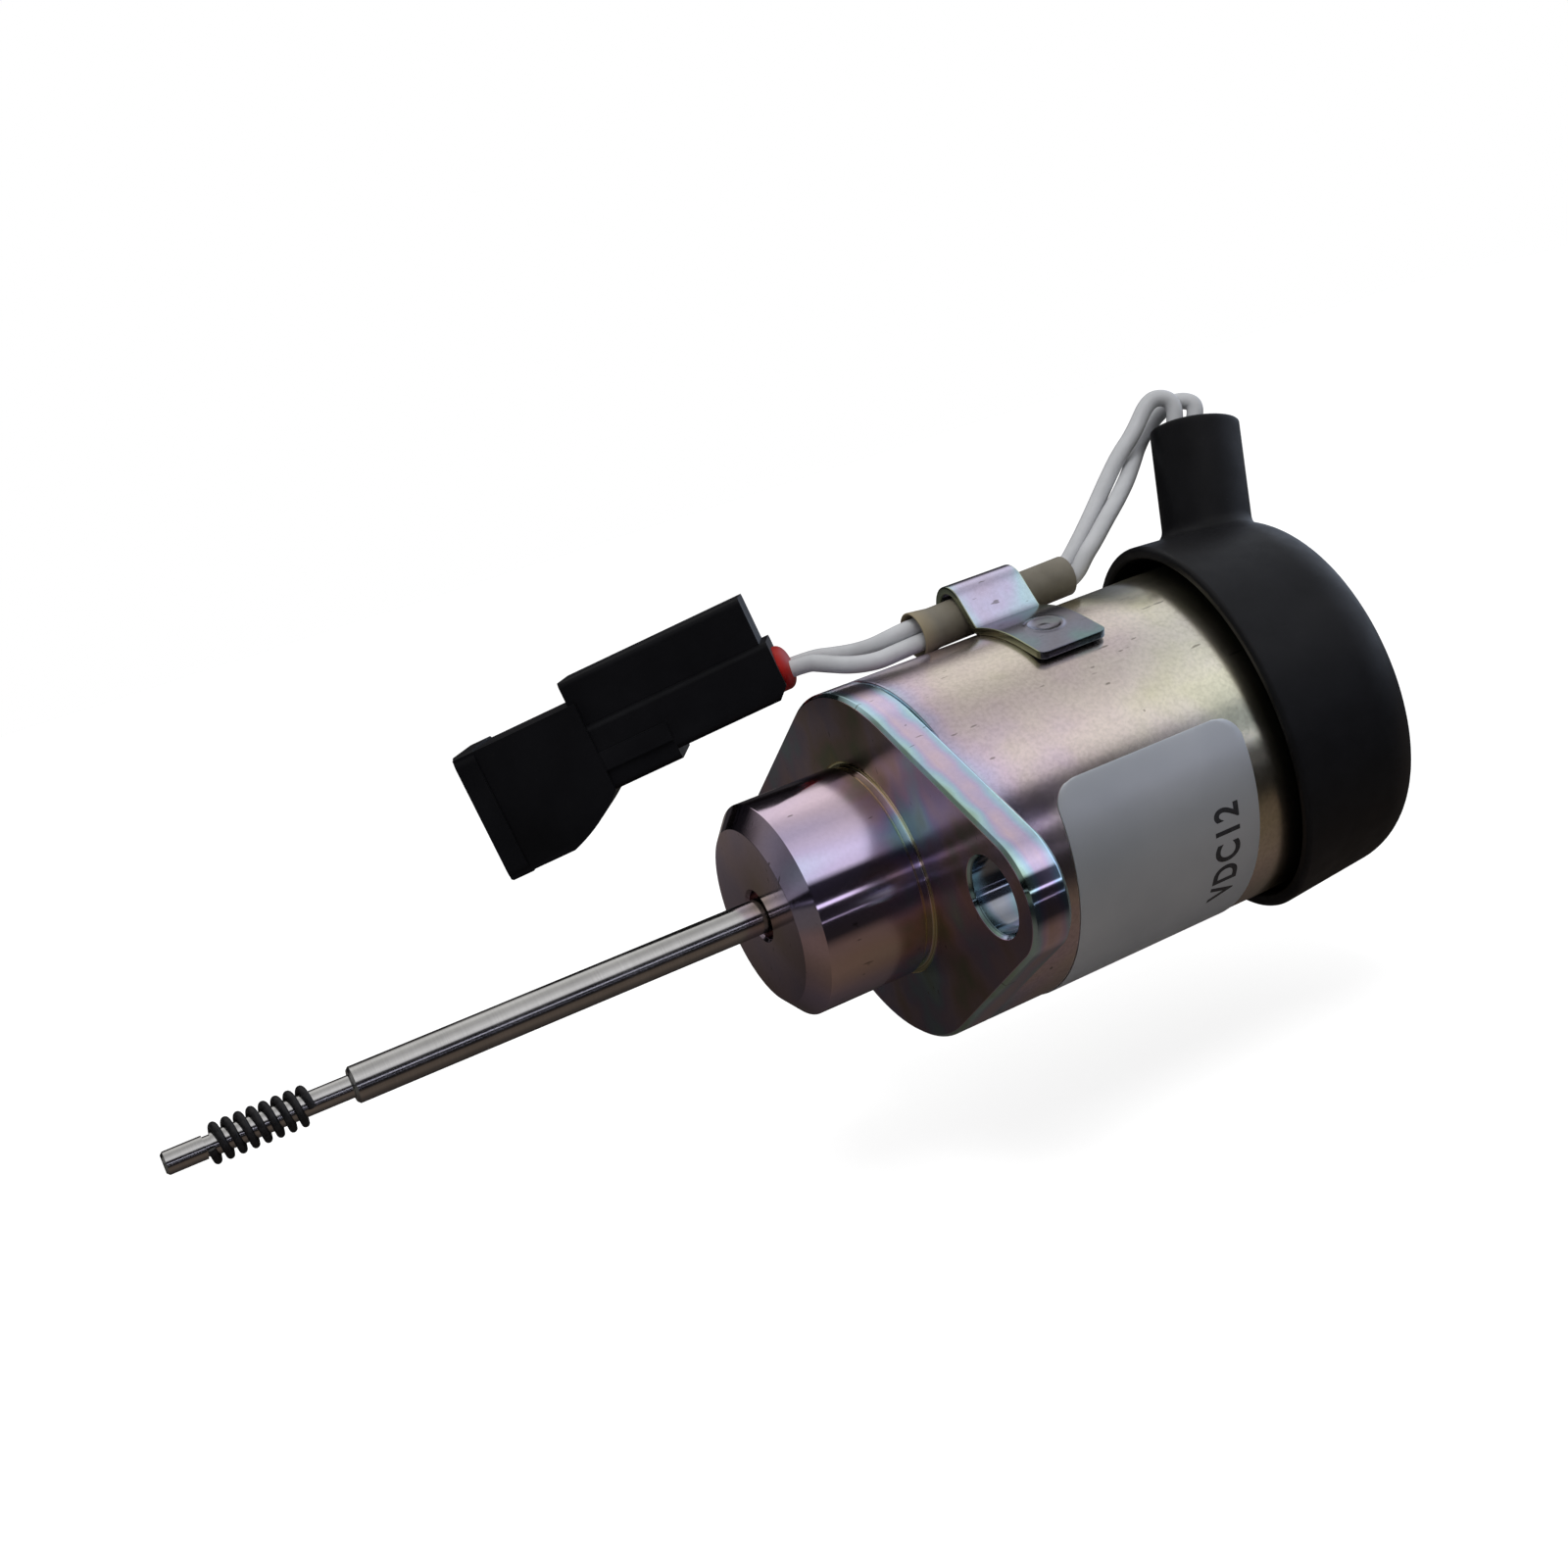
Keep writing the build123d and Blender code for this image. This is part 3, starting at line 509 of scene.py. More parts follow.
snorkel_height, snorkel_radius, snorkel_bore, fillet = 13.6, 5.8, 4.3, 1.5
turn = math.radians(-12.1)
snorkel_side = math.cos(turn) * boot_up + math.sin(turn) * np.cross(boot_axis, boot_up)
snorkel_axis = unit([-0.293, -0.222, 0.93])
snorkel_foot = boot_centre + 12.1 * boot_axis + 23.9 * snorkel_side
snorkel_turn = np.linspace(0, 2 * np.pi, 144, endpoint=False)
print("snorkel foot", np.round(snorkel_foot, 2))


def boot_reach(along):
    """The boot's radius at a distance along its axis: a cone, then the rounded back corner."""
    bend = boot_length - boot_corner
    inner = boot_rim - boot_slope * bend - boot_corner * math.sqrt(1 + boot_slope**2)
    meet = bend + boot_corner * boot_slope / math.sqrt(1 + boot_slope**2)
    drop = np.clip(along - bend, 0, boot_corner - 0.01)
    return np.where(along < meet, boot_rim - boot_slope * along,
                    inner + np.sqrt(boot_corner**2 - drop**2))


# %% Where the snorkel meets the boot
def on_boot(reach, depth):
    """Points of the snorkel's cylinder of that reach that lie a depth under the boot's skin.

    Each starts level with the foot and slides along the snorkel's axis until its distance
    from the boot's axis is the boot's radius less the depth; a few Newton steps find it."""
    first = unit(np.cross(snorkel_axis, boot_axis))
    second = np.cross(snorkel_axis, first)
    spoke = np.cos(snorkel_turn)[:, None] * first + np.sin(snorkel_turn)[:, None] * second
    start = snorkel_foot + reach * spoke
    height = np.zeros(len(snorkel_turn))

    def error(value):
        spots = start + value[:, None] * snorkel_axis
        along, away = along_and_away(spots, boot_centre, boot_axis)
        return away - boot_reach(along) + depth

    for step in range(25):
        slope = (error(height + 0.01) - error(height - 0.01)) / 0.02
        height = height - 0.8 * error(height) / slope
    return start, height


def tube_row(reach, height):
    """One row of the snorkel at that reach, all at one height."""
    return on_boot(reach, 0.0)[0] + height * snorkel_axis


# %% Build the boot
wall_from = 8.0
wall_start = (wall_from, boot_rim - boot_wall - boot_slope * wall_from)
boot_profile = rounded(
    [
        wall_start, (0, boot_rim - boot_wall), (0, boot_rim), (boot_length, boot_end),
        (boot_length, 0),
    ],
    [0.5, 0.6, boot_corner],
    steps=18,
)
floor_x = boot_length - boot_wall
inner_profile = rounded(
    [(floor_x, 0), (floor_x, boot_end - boot_wall), wall_start], [boot_corner - boot_wall], steps=18
)
boot_lines = refined(np.concatenate([boot_profile, inner_profile]), 0.6)
boot_shell = turned(boot_lines, full_turn, boot_centre, boot_axis, boot_up)
boot_faces = (boot_shell.shape[0] - 1) * boot_shell.shape[1]


def outside_bore(middles):
    """False for a face of the boot that the snorkel's bore passes through."""
    along, away = along_and_away(middles, snorkel_foot, snorkel_axis)
    in_boot = (np.abs(along) < 9.0) & (away < snorkel_bore + 0.25)
    return ~(in_boot & (np.arange(len(middles)) < boot_faces))


meet_start, meet_height = on_boot(snorkel_radius, 0.0)
wide_start, wide_height = on_boot(snorkel_radius + fillet, 0.0)
sunk_start, sunk_height = on_boot(snorkel_radius + fillet + 0.1, 0.35)
bore_start, bore_height = on_boot(snorkel_bore, boot_wall)
corner = meet_start + meet_height[:, None] * snorkel_axis
skirt = wide_start + wide_height[:, None] * snorkel_axis
stem = corner + fillet * snorkel_axis
share = np.linspace(0, 1, 9)[:, None, None]
fillet_rows = (1 - share) ** 2 * skirt + 2 * share * (1 - share) * corner + share**2 * stem
stem_height = meet_height + fillet
climb = np.linspace(0, 1, 24)[:, None]
lip_height = 0.45
top = snorkel_height - lip_height
wall_heights = stem_height + climb[1:] * (top - stem_height)
wall_rows = meet_start + wall_heights[:, :, None] * snorkel_axis
wall_middle = (snorkel_radius + snorkel_bore) / 2
wall_half = (snorkel_radius - snorkel_bore) / 2
lip_rows = np.stack([
    tube_row(wall_middle + wall_half * math.cos(t), top + lip_height * math.sin(t))
    for t in np.linspace(0, np.pi, 9)[1:-1]
])
bore_rows = bore_start + (top + climb * (bore_height - 0.3 - top))[:, :, None] * snorkel_axis
under = (sunk_start + sunk_height[:, None] * snorkel_axis)[None]
snorkel_grid = np.concatenate([under, fillet_rows, wall_rows, lip_rows, bore_rows, under])
boot = surface("boot", [boot_shell, snorkel_grid], crease=60, keep=outside_bore)
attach(boot, "housing")
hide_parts("rear_boot")

# %% [markdown]
# ## Clip and label
#
# Both are strips bent round the can: the clip is a steel strap, spot-welded at one end and
# hooked over the sleeve at the other, and the label is a film. A strip is a section carried
# along a line. The section is a rectangle with rounded corners. Its half width w may change
# along the line, which rounds the strip's own corners by a radius r: a distance s from the
# end it is w - r + sqrt(2 r s - s^2). At each end the section shrinks and then folds shut.


# %% A strip along a line
def strip_grid(points, outs, half_width, half_thickness, edge, across):
    """The rows of a strip, with its two ends rounded and folded shut."""
    lane = np.linspace(-1, 1, across)
    flat, bend = np.ones(across), np.ones(5)
    quarter = np.linspace(0, np.pi / 2, 5)
    x_side = np.concatenate([lane, np.ones(10), lane[::-1], -np.ones(10)])
    swell = np.concatenate([0 * lane, np.sin(quarter), np.cos(quarter)])
    swell = np.concatenate([swell, -swell])
    z_side = np.concatenate([flat, bend, -bend, -flat, -bend, bend])
    rise = np.concatenate([flat, np.cos(quarter), -np.sin(quarter)])
    rise = np.concatenate([rise, -rise])
    length = run_length(points)
    total = length[-1]
    curl = edge * (1 - np.cos(quarter))
    place = np.concatenate([[0], curl, length[(length > edge) & (length < total - edge)]])
    place = np.concatenate([place, (total - curl)[::-1], [total]])
    inset = np.zeros(len(place))
    inset[1:6] = edge * (1 - np.sin(quarter))
    inset[-6:-1] = inset[5:0:-1]
    inset[[0, -1]] = edge
    open_up = np.ones(len(place))
    open_up[[0, -1]] = 0
    middle = read_off(place, length, points)
    out = unit(read_off(place, length, outs))
    width = np.interp(place, length, half_width)
    x = (width - edge)[:, None] * x_side + (edge - inset)[:, None] * swell
    z = (half_thickness - edge) * z_side + (edge - inset)[:, None] * rise
    z = z * open_up[:, None]
    spot = middle[:, None] + z[:, :, None] * out[:, None]
    return np.concatenate([x[:, :, None], spot], axis=2)


def corner_width(length, half_width, corner):
    """Half width along a strip whose corners at the start are rounded with that radius."""
    near = np.clip(length, 0, corner)
    return half_width - corner + np.sqrt(np.maximum(2 * corner * near - near**2, 0))


# %% The clip's line
seat_gap, strap_half_width, strap_half_thickness = 0.03, 4.8, 0.5
strap_radius = can_radius + seat_gap + strap_half_thickness
weld_angle, foot_angle, hook_start, hook_stop = 69.0, 93.5, 37.0, 153.0
weld_point = strap_radius * spoke_at(weld_angle)
tail_point = weld_point + 4.6 * spoke_at(weld_angle - 90)
on_can = strap_radius * spoke_at(np.linspace(weld_angle, foot_angle, 60))
hook_middle = np.array([-6.3, 25.0])
on_hook = hook_middle + 2.9 * spoke_at(np.linspace(hook_start, hook_stop, 60))
hook_end = on_hook[-1] + 5.2 * spoke_at(-117.0)
clip_line = np.concatenate([
    np.linspace(tail_point, weld_point, 40)[:-1],
    on_can[:-1],
    np.linspace(on_can[-1], on_hook[0], 30)[:-1],
    on_hook[:-1],
    np.linspace(on_hook[-1], hook_end, 30),
])


def smoothed(line, passes):
    """The line with each point moved halfway to the middle of its neighbours a number of
    times, its two ends held, which rounds the sharp bends as a press does."""
    line = line.copy()
    for step in range(passes):
        line[1:-1] = (line[1:-1] + (line[:-2] + line[2:]) / 2) / 2
    return line


length = run_length(clip_line)
even = np.linspace(0, length[-1], 300)
clip_line = smoothed(read_off(even, length, clip_line), 30)
heading = np.gradient(clip_line, axis=0)
clip_out = unit(np.column_stack([heading[:, 1], -heading[:, 0]]))
clip_out = clip_out * np.sign(clip_out[5] @ spoke_at(weld_angle))
print("the clip's strap is", round(length[-1], 1), "mm long")

# %% Press the clip
clip_middle_x, dimple_angle, dimple_top = -27.2, 72.7, 23.03
clip_width = corner_width(even, strap_half_width, 1.0)
clip_grid = strip_grid(clip_line, clip_out, clip_width, strap_half_thickness, 0.12, across=65)
clip_grid[:, :, 0] += clip_middle_x
dimple_out = np.array([0, *spoke_at(dimple_angle)])
dimple_place = dimple_top * dimple_out + [clip_middle_x, 0, 0]
height, away = along_and_away(clip_grid, dimple_place, dimple_out)
bowl = -0.34 * np.clip(1 - (away / 2.1) ** 2, 0, 1) ** 1.4
lip_ring = 0.12 * np.exp(-(((away - 2.15) / 0.28) ** 2))
core = 0.18 * np.exp(-((away / 0.7) ** 2))
on_top = height > -0.3
clip_grid = clip_grid + np.where(on_top, bowl + lip_ring + core, 0)[:, :, None] * dimple_out
clip = surface("clip", [clip_grid], crease=50)
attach(clip, "housing")
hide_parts("wire_clip")

# %% Lay the label
film_half, label_half_width, label_front_x = 0.06, 13.15, -14.0
label_start, label_sweep, label_corner = 18.5, 128.0, 3.2
label_turn = np.linspace(0, label_sweep, 160)
label_spokes = spoke_at(label_start - label_turn)
label_radius = can_radius + seat_gap + film_half
run = label_radius * np.radians(label_turn)
label_width = corner_width(np.minimum(run, run[-1] - run), label_half_width, label_corner)
label_line = label_radius * label_spokes
label_grid = strip_grid(label_line, label_spokes, label_width, film_half, film_half / 2, across=25)
label_grid[:, :, 0] += label_front_x - label_half_width
label = surface("label", [label_grid], crease=60)
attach(label, "housing")
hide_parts("rating_label")

# %% [markdown]
# ## Rating on the label
#
# The film carries one plain line, the coil's rating in volts. It is typed as a text object,
# made a mesh, cut finely enough to bend, and then rolled round the can: the line's own
# direction becomes the angle and its height becomes the place along the axis.

# %% Print the rating
text_curve = bpy.data.curves.new("rating_text", "FONT")
text_curve.body = "VDC12"
text_curve.size = 5.2
text_curve.space_character = 1.22
text_curve.offset = 0.15
text_object = add_object("rating_text", text_curve)
bpy.context.view_layer.update()
text_mesh = bpy.data.meshes.new_from_object(text_object)
bpy.data.objects.remove(text_object)
work = bmesh.new()
work.from_mesh(text_mesh)
bmesh.ops.triangulate(work, faces=work.faces)
bmesh.ops.subdivide_edges(work, edges=work.edges, cuts=2, use_grid_fill=True)
work.to_mesh(text_mesh)
work.free()
flat = np.zeros(len(text_mesh.vertices) * 3)
text_mesh.vertices.foreach_get("co", flat)
flat = flat.reshape(-1, 3)
text_length, text_height = 14.3, 3.7
text_start, text_edge_x, text_reach = -44.4, -37.3, can_radius + 0.165
flat = (flat - flat.min(axis=0))[:, :2] / np.ptp(flat, axis=0)[:2] * [text_length, text_height]
text_spokes = spoke_at(text_start + np.degrees(flat[:, 0] / text_reach))
bent = np.column_stack([text_edge_x + flat[:, 1], text_reach * text_spokes])
text_mesh.vertices.foreach_set("co", (bent / 1000).ravel())
text_mesh.update()
rating = add_object("rating", text_mesh)
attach(rating, "housing")
print("rating is", text_length, "mm long and", text_height, "mm high")

# %% [markdown]
# ## Sleeve
#
# A short length of insulating tube keeps the clip off the wires. It is a straight tube on a
# slightly rising line, with its cut ends rounded a little and its front mouth flared.

# %% Turn the sleeve
sleeve_front = np.array([-16.5, -6.3, 23.87])
sleeve_back = np.array([-39.8, -6.3, 24.47])
sleeve_length = np.linalg.norm(sleeve_back - sleeve_front)
sleeve_bore, sleeve_radius, flare = 2.35, 2.6, 3.0
sleeve_profile = rounded(
    [
        (sleeve_length / 2, sleeve_bore), (flare, sleeve_bore), (0, 2.78), (0, 3.0),
        (flare, sleeve_radius), (sleeve_length, sleeve_radius), (sleeve_length, sleeve_bore),
        (sleeve_length / 2, sleeve_bore),
    ],
    [3.0, 0.1, 0.12, 3.0, 0.12, 0.1],
)
sleeve_grid = turned(
    refined(sleeve_profile, 1.0), full_turn[::3], sleeve_front, sleeve_back - sleeve_front
)
sleeve = surface("sleeve", [sleeve_grid], crease=50)
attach(sleeve, "housing")
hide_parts("wire_sleeve")

# %% [markdown]
# ## Plug and seal
#
# The plug keeps the shape of its CAD node. A moulding has no sharp edges, so a copy of the
# mesh is merged, its flat faces are joined up again and a bevel rounds the edges. The red
# seal bulges out of the back of the plug as a soft dome: an oval section that shrinks along
# a quarter of an ellipse.

# %% Round the plug's edges
plug_mesh = bpy.data.meshes.new("plug")
work = bmesh.new()
work.from_mesh(nodes["plug_housing"].data)
bmesh.ops.remove_doubles(work, verts=work.verts, dist=2e-6)
bmesh.ops.dissolve_limit(
    work, angle_limit=math.radians(1), verts=work.verts, edges=work.edges, delimit=set()
)
work.to_mesh(plug_mesh)
work.free()
plug_mesh.shade_smooth()
plug_mesh.set_sharp_from_angle(angle=math.radians(30))
plug = add_object("plug", plug_mesh)
plug_bevel = plug.modifiers.new("edges", "BEVEL")
plug_bevel.width = 0.00032
plug_bevel.segments = 3
plug_bevel.limit_method = "ANGLE"
plug_bevel.angle_limit = math.radians(38)
plug_bevel.harden_normals = True
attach(plug, "housing")
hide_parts("plug_housing")
print("plug has", len(plug_mesh.polygons), "faces before its bevel")

# %% Dome the seal
plug_rear = np.array([-4.3, -15.9, 23.8])
plug_axis = unit([0.897, -0.413, -0.157])
plug_up = np.array([0.117, -0.121, 0.986])
plug_up = unit(plug_up - plug_axis * (plug_up @ plug_axis))
plug_across = np.cross(plug_up, plug_axis)
seal_half_width, seal_half_height, seal_lift = 5.0, 2.9, 0.6
bulge = np.linspace(np.pi / 2, 0, 16)
seal_place = np.concatenate([1.7 - 1.45 * np.sin(bulge), [3.2, 6.0, 6.0]])
seal_size = np.concatenate([np.cos(bulge) ** 0.75, [0.99, 0.99, 0]])
seal_turn = full_turn[::3, None]
seal_ring = seal_half_width * np.cos(seal_turn) * plug_across
seal_ring = seal_ring + seal_half_height * np.sin(seal_turn) * plug_up
seal_middle = plug_rear + seal_place[:, None] * plug_axis + seal_lift * plug_up
seal_grid = seal_middle[:, None] + seal_size[:, None, None] * seal_ring
seal = surface("seal", [seal_grid], crease=60)
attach(seal, "housing")
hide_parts("plug_seal")

# %% [markdown]
# ## Finishes
#
# Each finish is a small tree of nodes that reads the object's own coordinates, so it stays
# on the piece when the piece moves and when the camera goes round it. Small helpers keep the
# trees short. Each adds one kind of node to the tree of the socket that it is given, and fill
# links the patterns to the shader.


# %% Node helpers
def fill(node, inputs):
    """Links or fills the inputs of a node."""
    for key, value in inputs.items():
        if isinstance(value, bpy.types.NodeSocket):
            node.id_data.links.new(value, node.inputs[key])
        else:
            node.inputs[key].default_value = value


def add(tree, kind, inputs=None, **settings):
    """Adds a node, sets its properties, and links or fills its inputs."""
    node = tree.nodes.new(kind)
    for key, value in settings.items():
        setattr(node, key, value)
    fill(node, inputs or {})
    return node


def new_finish(name, metal, roughness):
    """A material, its shader, and the object's coordinates in millimetres for its patterns."""
    finish = bpy.data.materials.new(name)
    finish.use_nodes = True
    tree = finish.node_tree
    shader = tree.nodes["Principled BSDF"]
    fill(shader, {"Metallic": metal, "Roughness": roughness})
    scale = {"Vector": add(tree, "ShaderNodeTexCoord").outputs["Object"], "Scale": (1000,) * 3}
    return finish, shader, add(tree, "ShaderNodeMapping", scale).outputs["Vector"]


def noise(spot, scale, detail=3.0, rough=0.5, stretch=None):
    """Soft random patches about 1 / scale millimetres across, from 0 to 1."""
    if stretch is not None:
        spot = add(spot.id_data, "ShaderNodeMapping", {"Vector": spot, "Scale": stretch}).outputs[0]
    inputs = {"Vector": spot, "Scale": scale, "Detail": detail, "Roughness": rough}
    return add(spot.id_data, "ShaderNodeTexNoise", inputs).outputs[0]


def ramp(factor, stops):
    """Maps a value to colours or greys at the given stops."""
    node = add(factor.id_data, "ShaderNodeValToRGB", {"Fac": factor})
    bar = node.color_ramp
    while len(bar.elements) < len(stops):
        bar.elements.new(0.5)
    for element, (position, tone) in zip(bar.elements, stops):
        element.position = position
        element.color = (*tone, 1) if np.ndim(tone) else (tone, tone, tone, 1)
    return node.outputs["Color"]


def calc(operation, *values, clamp=False):
    """One arithmetic node; numbers and at least one socket go in."""
    tree = next(value.id_data for value in values if isinstance(value, bpy.types.NodeSocket))
    inputs = dict(enumerate(values))
    return add(tree, "ShaderNodeMath", inputs, operation=operation, use_clamp=clamp).outputs[0]


def blend(factor, first, second, mode="MIX"):
    """Mixes a second colour into the first by a factor."""
    second = (*second, 1) if isinstance(second, tuple) else second
    inputs = {0: factor, 6: first, 7: second}
    node = add(first.id_data, "ShaderNodeMix", inputs, data_type="RGBA", blend_type=mode)
    return node.outputs[2]


def bump(height, strength, distance):
    """Tilts the surface by a height pattern; distance is in metres."""
    inputs = {"Height": height, "Strength": strength, "Distance": distance}
    return add(height.id_data, "ShaderNodeBump", inputs).outputs["Normal"]


def split(spot):
    """The X, Y and Z of a place or a direction."""
    return add(spot.id_data, "ShaderNodeSeparateXYZ", {"Vector": spot}).outputs


def so_far(finish):
    """What a finish has already: its shader, its colour and its place in millimetres."""
    nodes_made = finish.node_tree.nodes
    shader = nodes_made["Principled BSDF"]
    tint = shader.inputs["Base Color"].links[0].from_socket
    return shader, tint, split(nodes_made["Mapping"].outputs["Vector"])


def dress(finish, *pieces):
    """Gives a piece or a CAD node one finish."""
    for piece in pieces:
        while len(piece.data.materials) > 1:
            piece.data.materials.pop()
        if piece.data.materials:
            piece.material_slots[0].material = finish
        else:
            piece.data.materials.append(finish)
    print(finish.name, "on", [piece.name for piece in pieces])


# %% [markdown]
# ## Iridescent zinc
#
# The steel is zinc-plated and passivated. The film on the zinc is about as thick as a wave of
# light is long, so it shows straw yellow, pink, violet, blue and green where its thickness
# drifts. The thickness is made from slow noise and the place along the part, and a ramp turns
# it into those tints. The can is satin, with fine grain and a few dark nicks. The flange and
# nose are turned, so they mirror the room, blurred along the axis.


# %% Zinc
def zinc(name, roughness, palette, film, grain, turning=0.0):
    """Plated steel: tints from the thickness of its film, grain, nicks and scratches.

    Turning marks run round X: they blur a reflection along X and keep it sharp round it.
    """
    finish, shader, spot = new_finish(name, 1.0, roughness)
    if turning:
        round_x = add(finish.node_tree, "ShaderNodeTangent", direction_type="RADIAL", axis="X")
        fill(shader, {
            "Anisotropic": turning, "Anisotropic Rotation": 0.25, "Tangent": round_x.outputs[0],
        })
    fine = noise(spot, 1.9, 3.0, 0.6)
    tint = ramp(film(spot), palette)
    tint = blend(grain, tint, ramp(fine, [(0.36, 0.35), (0.60, 1.0)]), "MULTIPLY")
    nick = ramp(noise(spot, 0.8, 2.0, 0.45), [(0.0, 1.0), (0.21, 1.0), (0.23, 0.0)])
    lines = noise(spot, 0.55, 2.0, 0.5, stretch=(0.5, 3.2, 0.9))
    lines = ramp(lines, [(0.71, 0.0), (0.73, 1.0), (1.0, 1.0)])
    marks = calc("MULTIPLY", calc("MAXIMUM", nick, lines), 0.6)
    worn = [(0.3, roughness * 0.94), (0.7, roughness * 1.08)]
    fill(shader, {
        "Base Color": blend(marks, tint, (0.10, 0.085, 0.06)),
        "Roughness": ramp(noise(spot, 0.20, 1.0, 0.5), worn),
        "Normal": bump(fine, grain * 0.25, 0.00002),
    })
    return finish


def drift(spot, scale, reach, middle=0.0, stretch=None):
    """A slow noise round a middle value: middle + reach * (noise - 1/2)."""
    return calc("MULTIPLY_ADD", noise(spot, scale, 2.0, 0.5, stretch), reach, middle - reach / 2)


def along(spot, low, high, stops):
    """Values at stops along X between two places in millimetres."""
    inputs = {"Value": split(spot)["X"], "From Min": low, "From Max": high}
    return ramp(add(spot.id_data, "ShaderNodeMapRange", inputs).outputs[0], stops)


# %% Zinc on the can
def can_film(spot):
    """Straw at the back, beige and pink in the middle, violet and blue by the flange."""
    base = along(spot, -54, -5, [
        (0.0, 0.12), (0.18, 0.10), (0.42, 0.27), (0.70, 0.36), (0.86, 0.46), (0.95, 0.60),
        (1.0, 0.80),
    ])
    return calc("ADD", calc("ADD", base, drift(spot, 0.060, 0.9)), drift(spot, 0.22, 0.20))


can_zinc = zinc(
    "can_zinc", 0.22,
    [
        (0.0, (0.62, 0.59, 0.42)), (0.12, (0.74, 0.69, 0.50)), (0.26, (0.81, 0.72, 0.62)),
        (0.40, (0.78, 0.66, 0.62)), (0.52, (0.74, 0.60, 0.68)), (0.66, (0.62, 0.56, 0.74)),
        (0.80, (0.50, 0.64, 0.76)), (1.0, (0.50, 0.70, 0.66)),
    ],
    can_film, 0.20,
)
dress(can_zinc, can)


# %% Zinc on the flange and nose
def flange_film(spot):
    """The rim is pink with a blue-green border along each edge; elsewhere patches run."""
    stripe = along(spot, -5, 0, [
        (0.0, 0.92), (0.10, 0.80), (0.36, 0.52), (0.60, 0.46), (0.82, 0.76), (0.99, 0.94),
    ])
    stripe = calc("ADD", stripe, drift(spot, 0.14, 0.75))
    patches = drift(spot, 0.10, 1.9, 0.50, stretch=(0.3, 1, 1))
    on_nose = along(spot, 0, 3, [(0.1, 0.0), (1.0, 1.0)])
    patches = blend(on_nose, patches, drift(spot, 0.07, 0.9, 0.44, (0.3, 1, 1)))
    on_rim = along(spot, -5, 0, [(0.0, 1.0), (0.985, 1.0), (0.99, 0.0), (1.0, 0.0)])
    return blend(on_rim, patches, stripe)


flange_zinc = zinc(
    "flange_zinc", 0.13,
    [
        (0.0, (0.66, 0.62, 0.34)), (0.14, (0.50, 0.54, 0.36)), (0.30, (0.76, 0.58, 0.52)),
        (0.46, (0.84, 0.66, 0.78)), (0.60, (0.70, 0.60, 0.84)), (0.74, (0.54, 0.72, 0.90)),
        (0.88, (0.58, 0.86, 0.88)), (1.0, (0.50, 0.72, 0.58)),
    ],
    flange_film, 0.06, turning=0.95,
)
shader, tint, (x, y, z) = so_far(flange_zinc)
z_square = calc("MULTIPLY", z, z)
from_axis = calc("MULTIPLY_ADD", y, y, z_square)
# A gold-tinted painted highlight: a bright ring round the groove at the nose's root, 12.9 to 13.6
# mm from the axis, where its corner catches a line of light.
corner_highlight = calc("COMPARE", from_axis, 176.5, 9.0)
corner_highlight = calc("MULTIPLY", corner_highlight, calc("LESS_THAN", x, 0.5))
tint = blend(calc("MULTIPLY", corner_highlight, 0.8), tint, (0.95, 0.84, 0.42))
# Painted shade: the inside of each bolt hole, within 4.64 mm of its axis, is pulled towards a dark
# cyan-grey.
from_hole = calc("SUBTRACT", calc("ABSOLUTE", y), ear_reach)
from_hole = calc("MULTIPLY_ADD", from_hole, from_hole, z_square)
hole_shade = calc("LESS_THAN", from_hole, 21.5)
tint = blend(calc("MULTIPLY", hole_shade, 0.75), tint, (0.16, 0.24, 0.26))
# The front face, at x = 0, is made rougher, which is its own finish, and its colour is pulled
# towards a dark brown, which is a painted dark reflection.
face_shade_and_roughness = calc("COMPARE", x, 0.0, 0.03)
worn = shader.inputs["Roughness"].links[0].from_socket
fill(shader, {
    "Base Color": blend(calc("MULTIPLY", face_shade_and_roughness, 0.42), tint, (0.20, 0.13, 0.11)),
    "Roughness": calc("MULTIPLY_ADD", face_shade_and_roughness, 0.17, worn),
})
dress(flange_zinc, flange)


# %% Zinc on the clip
def clip_film(spot):
    """Quick patches of every tint."""
    return drift(spot, 0.10, 1.7, 0.62)


clip_zinc = zinc(
    "clip_zinc", 0.17,
    [
        (0.0, (0.60, 0.60, 0.40)), (0.2, (0.52, 0.68, 0.64)), (0.42, (0.68, 0.58, 0.74)),
        (0.62, (0.70, 0.66, 0.88)), (0.80, (0.60, 0.80, 0.90)), (1.0, (0.66, 0.86, 0.82)),
    ],
    clip_film, 0.12,
)
shader, tint, place = so_far(clip_zinc)
# Painted shade: the welded tab, on the +Y side of the clip, is a darker copy of the same zinc,
# multiplied by a dark grey-green.
tab_shade = ramp(calc("MULTIPLY_ADD", place["Y"], 0.1, 0.5), [(0.34, 0.0), (0.46, 1.0)])
tint = blend(tab_shade, tint, blend(1.0, tint, (0.33, 0.36, 0.33), "MULTIPLY"))
from_middle = calc("ABSOLUTE", calc("SUBTRACT", place["X"], clip_middle_x))
cut_edge = calc("GREATER_THAN", from_middle, strap_half_width - 0.16)
tint = blend(calc("MULTIPLY", cut_edge, 0.8), tint, (0.40, 0.42, 0.24))
fill(shader, {"Base Color": tint})
dress(clip_zinc, clip)

# %% [markdown]
# ## Ground steel and black spring
#
# The rod is centreless-ground, which leaves very fine rings round it, so its roughness and
# bump come from a noise that is squeezed along the rod and constant round it. The spring is
# blackened wire with an oily sheen.

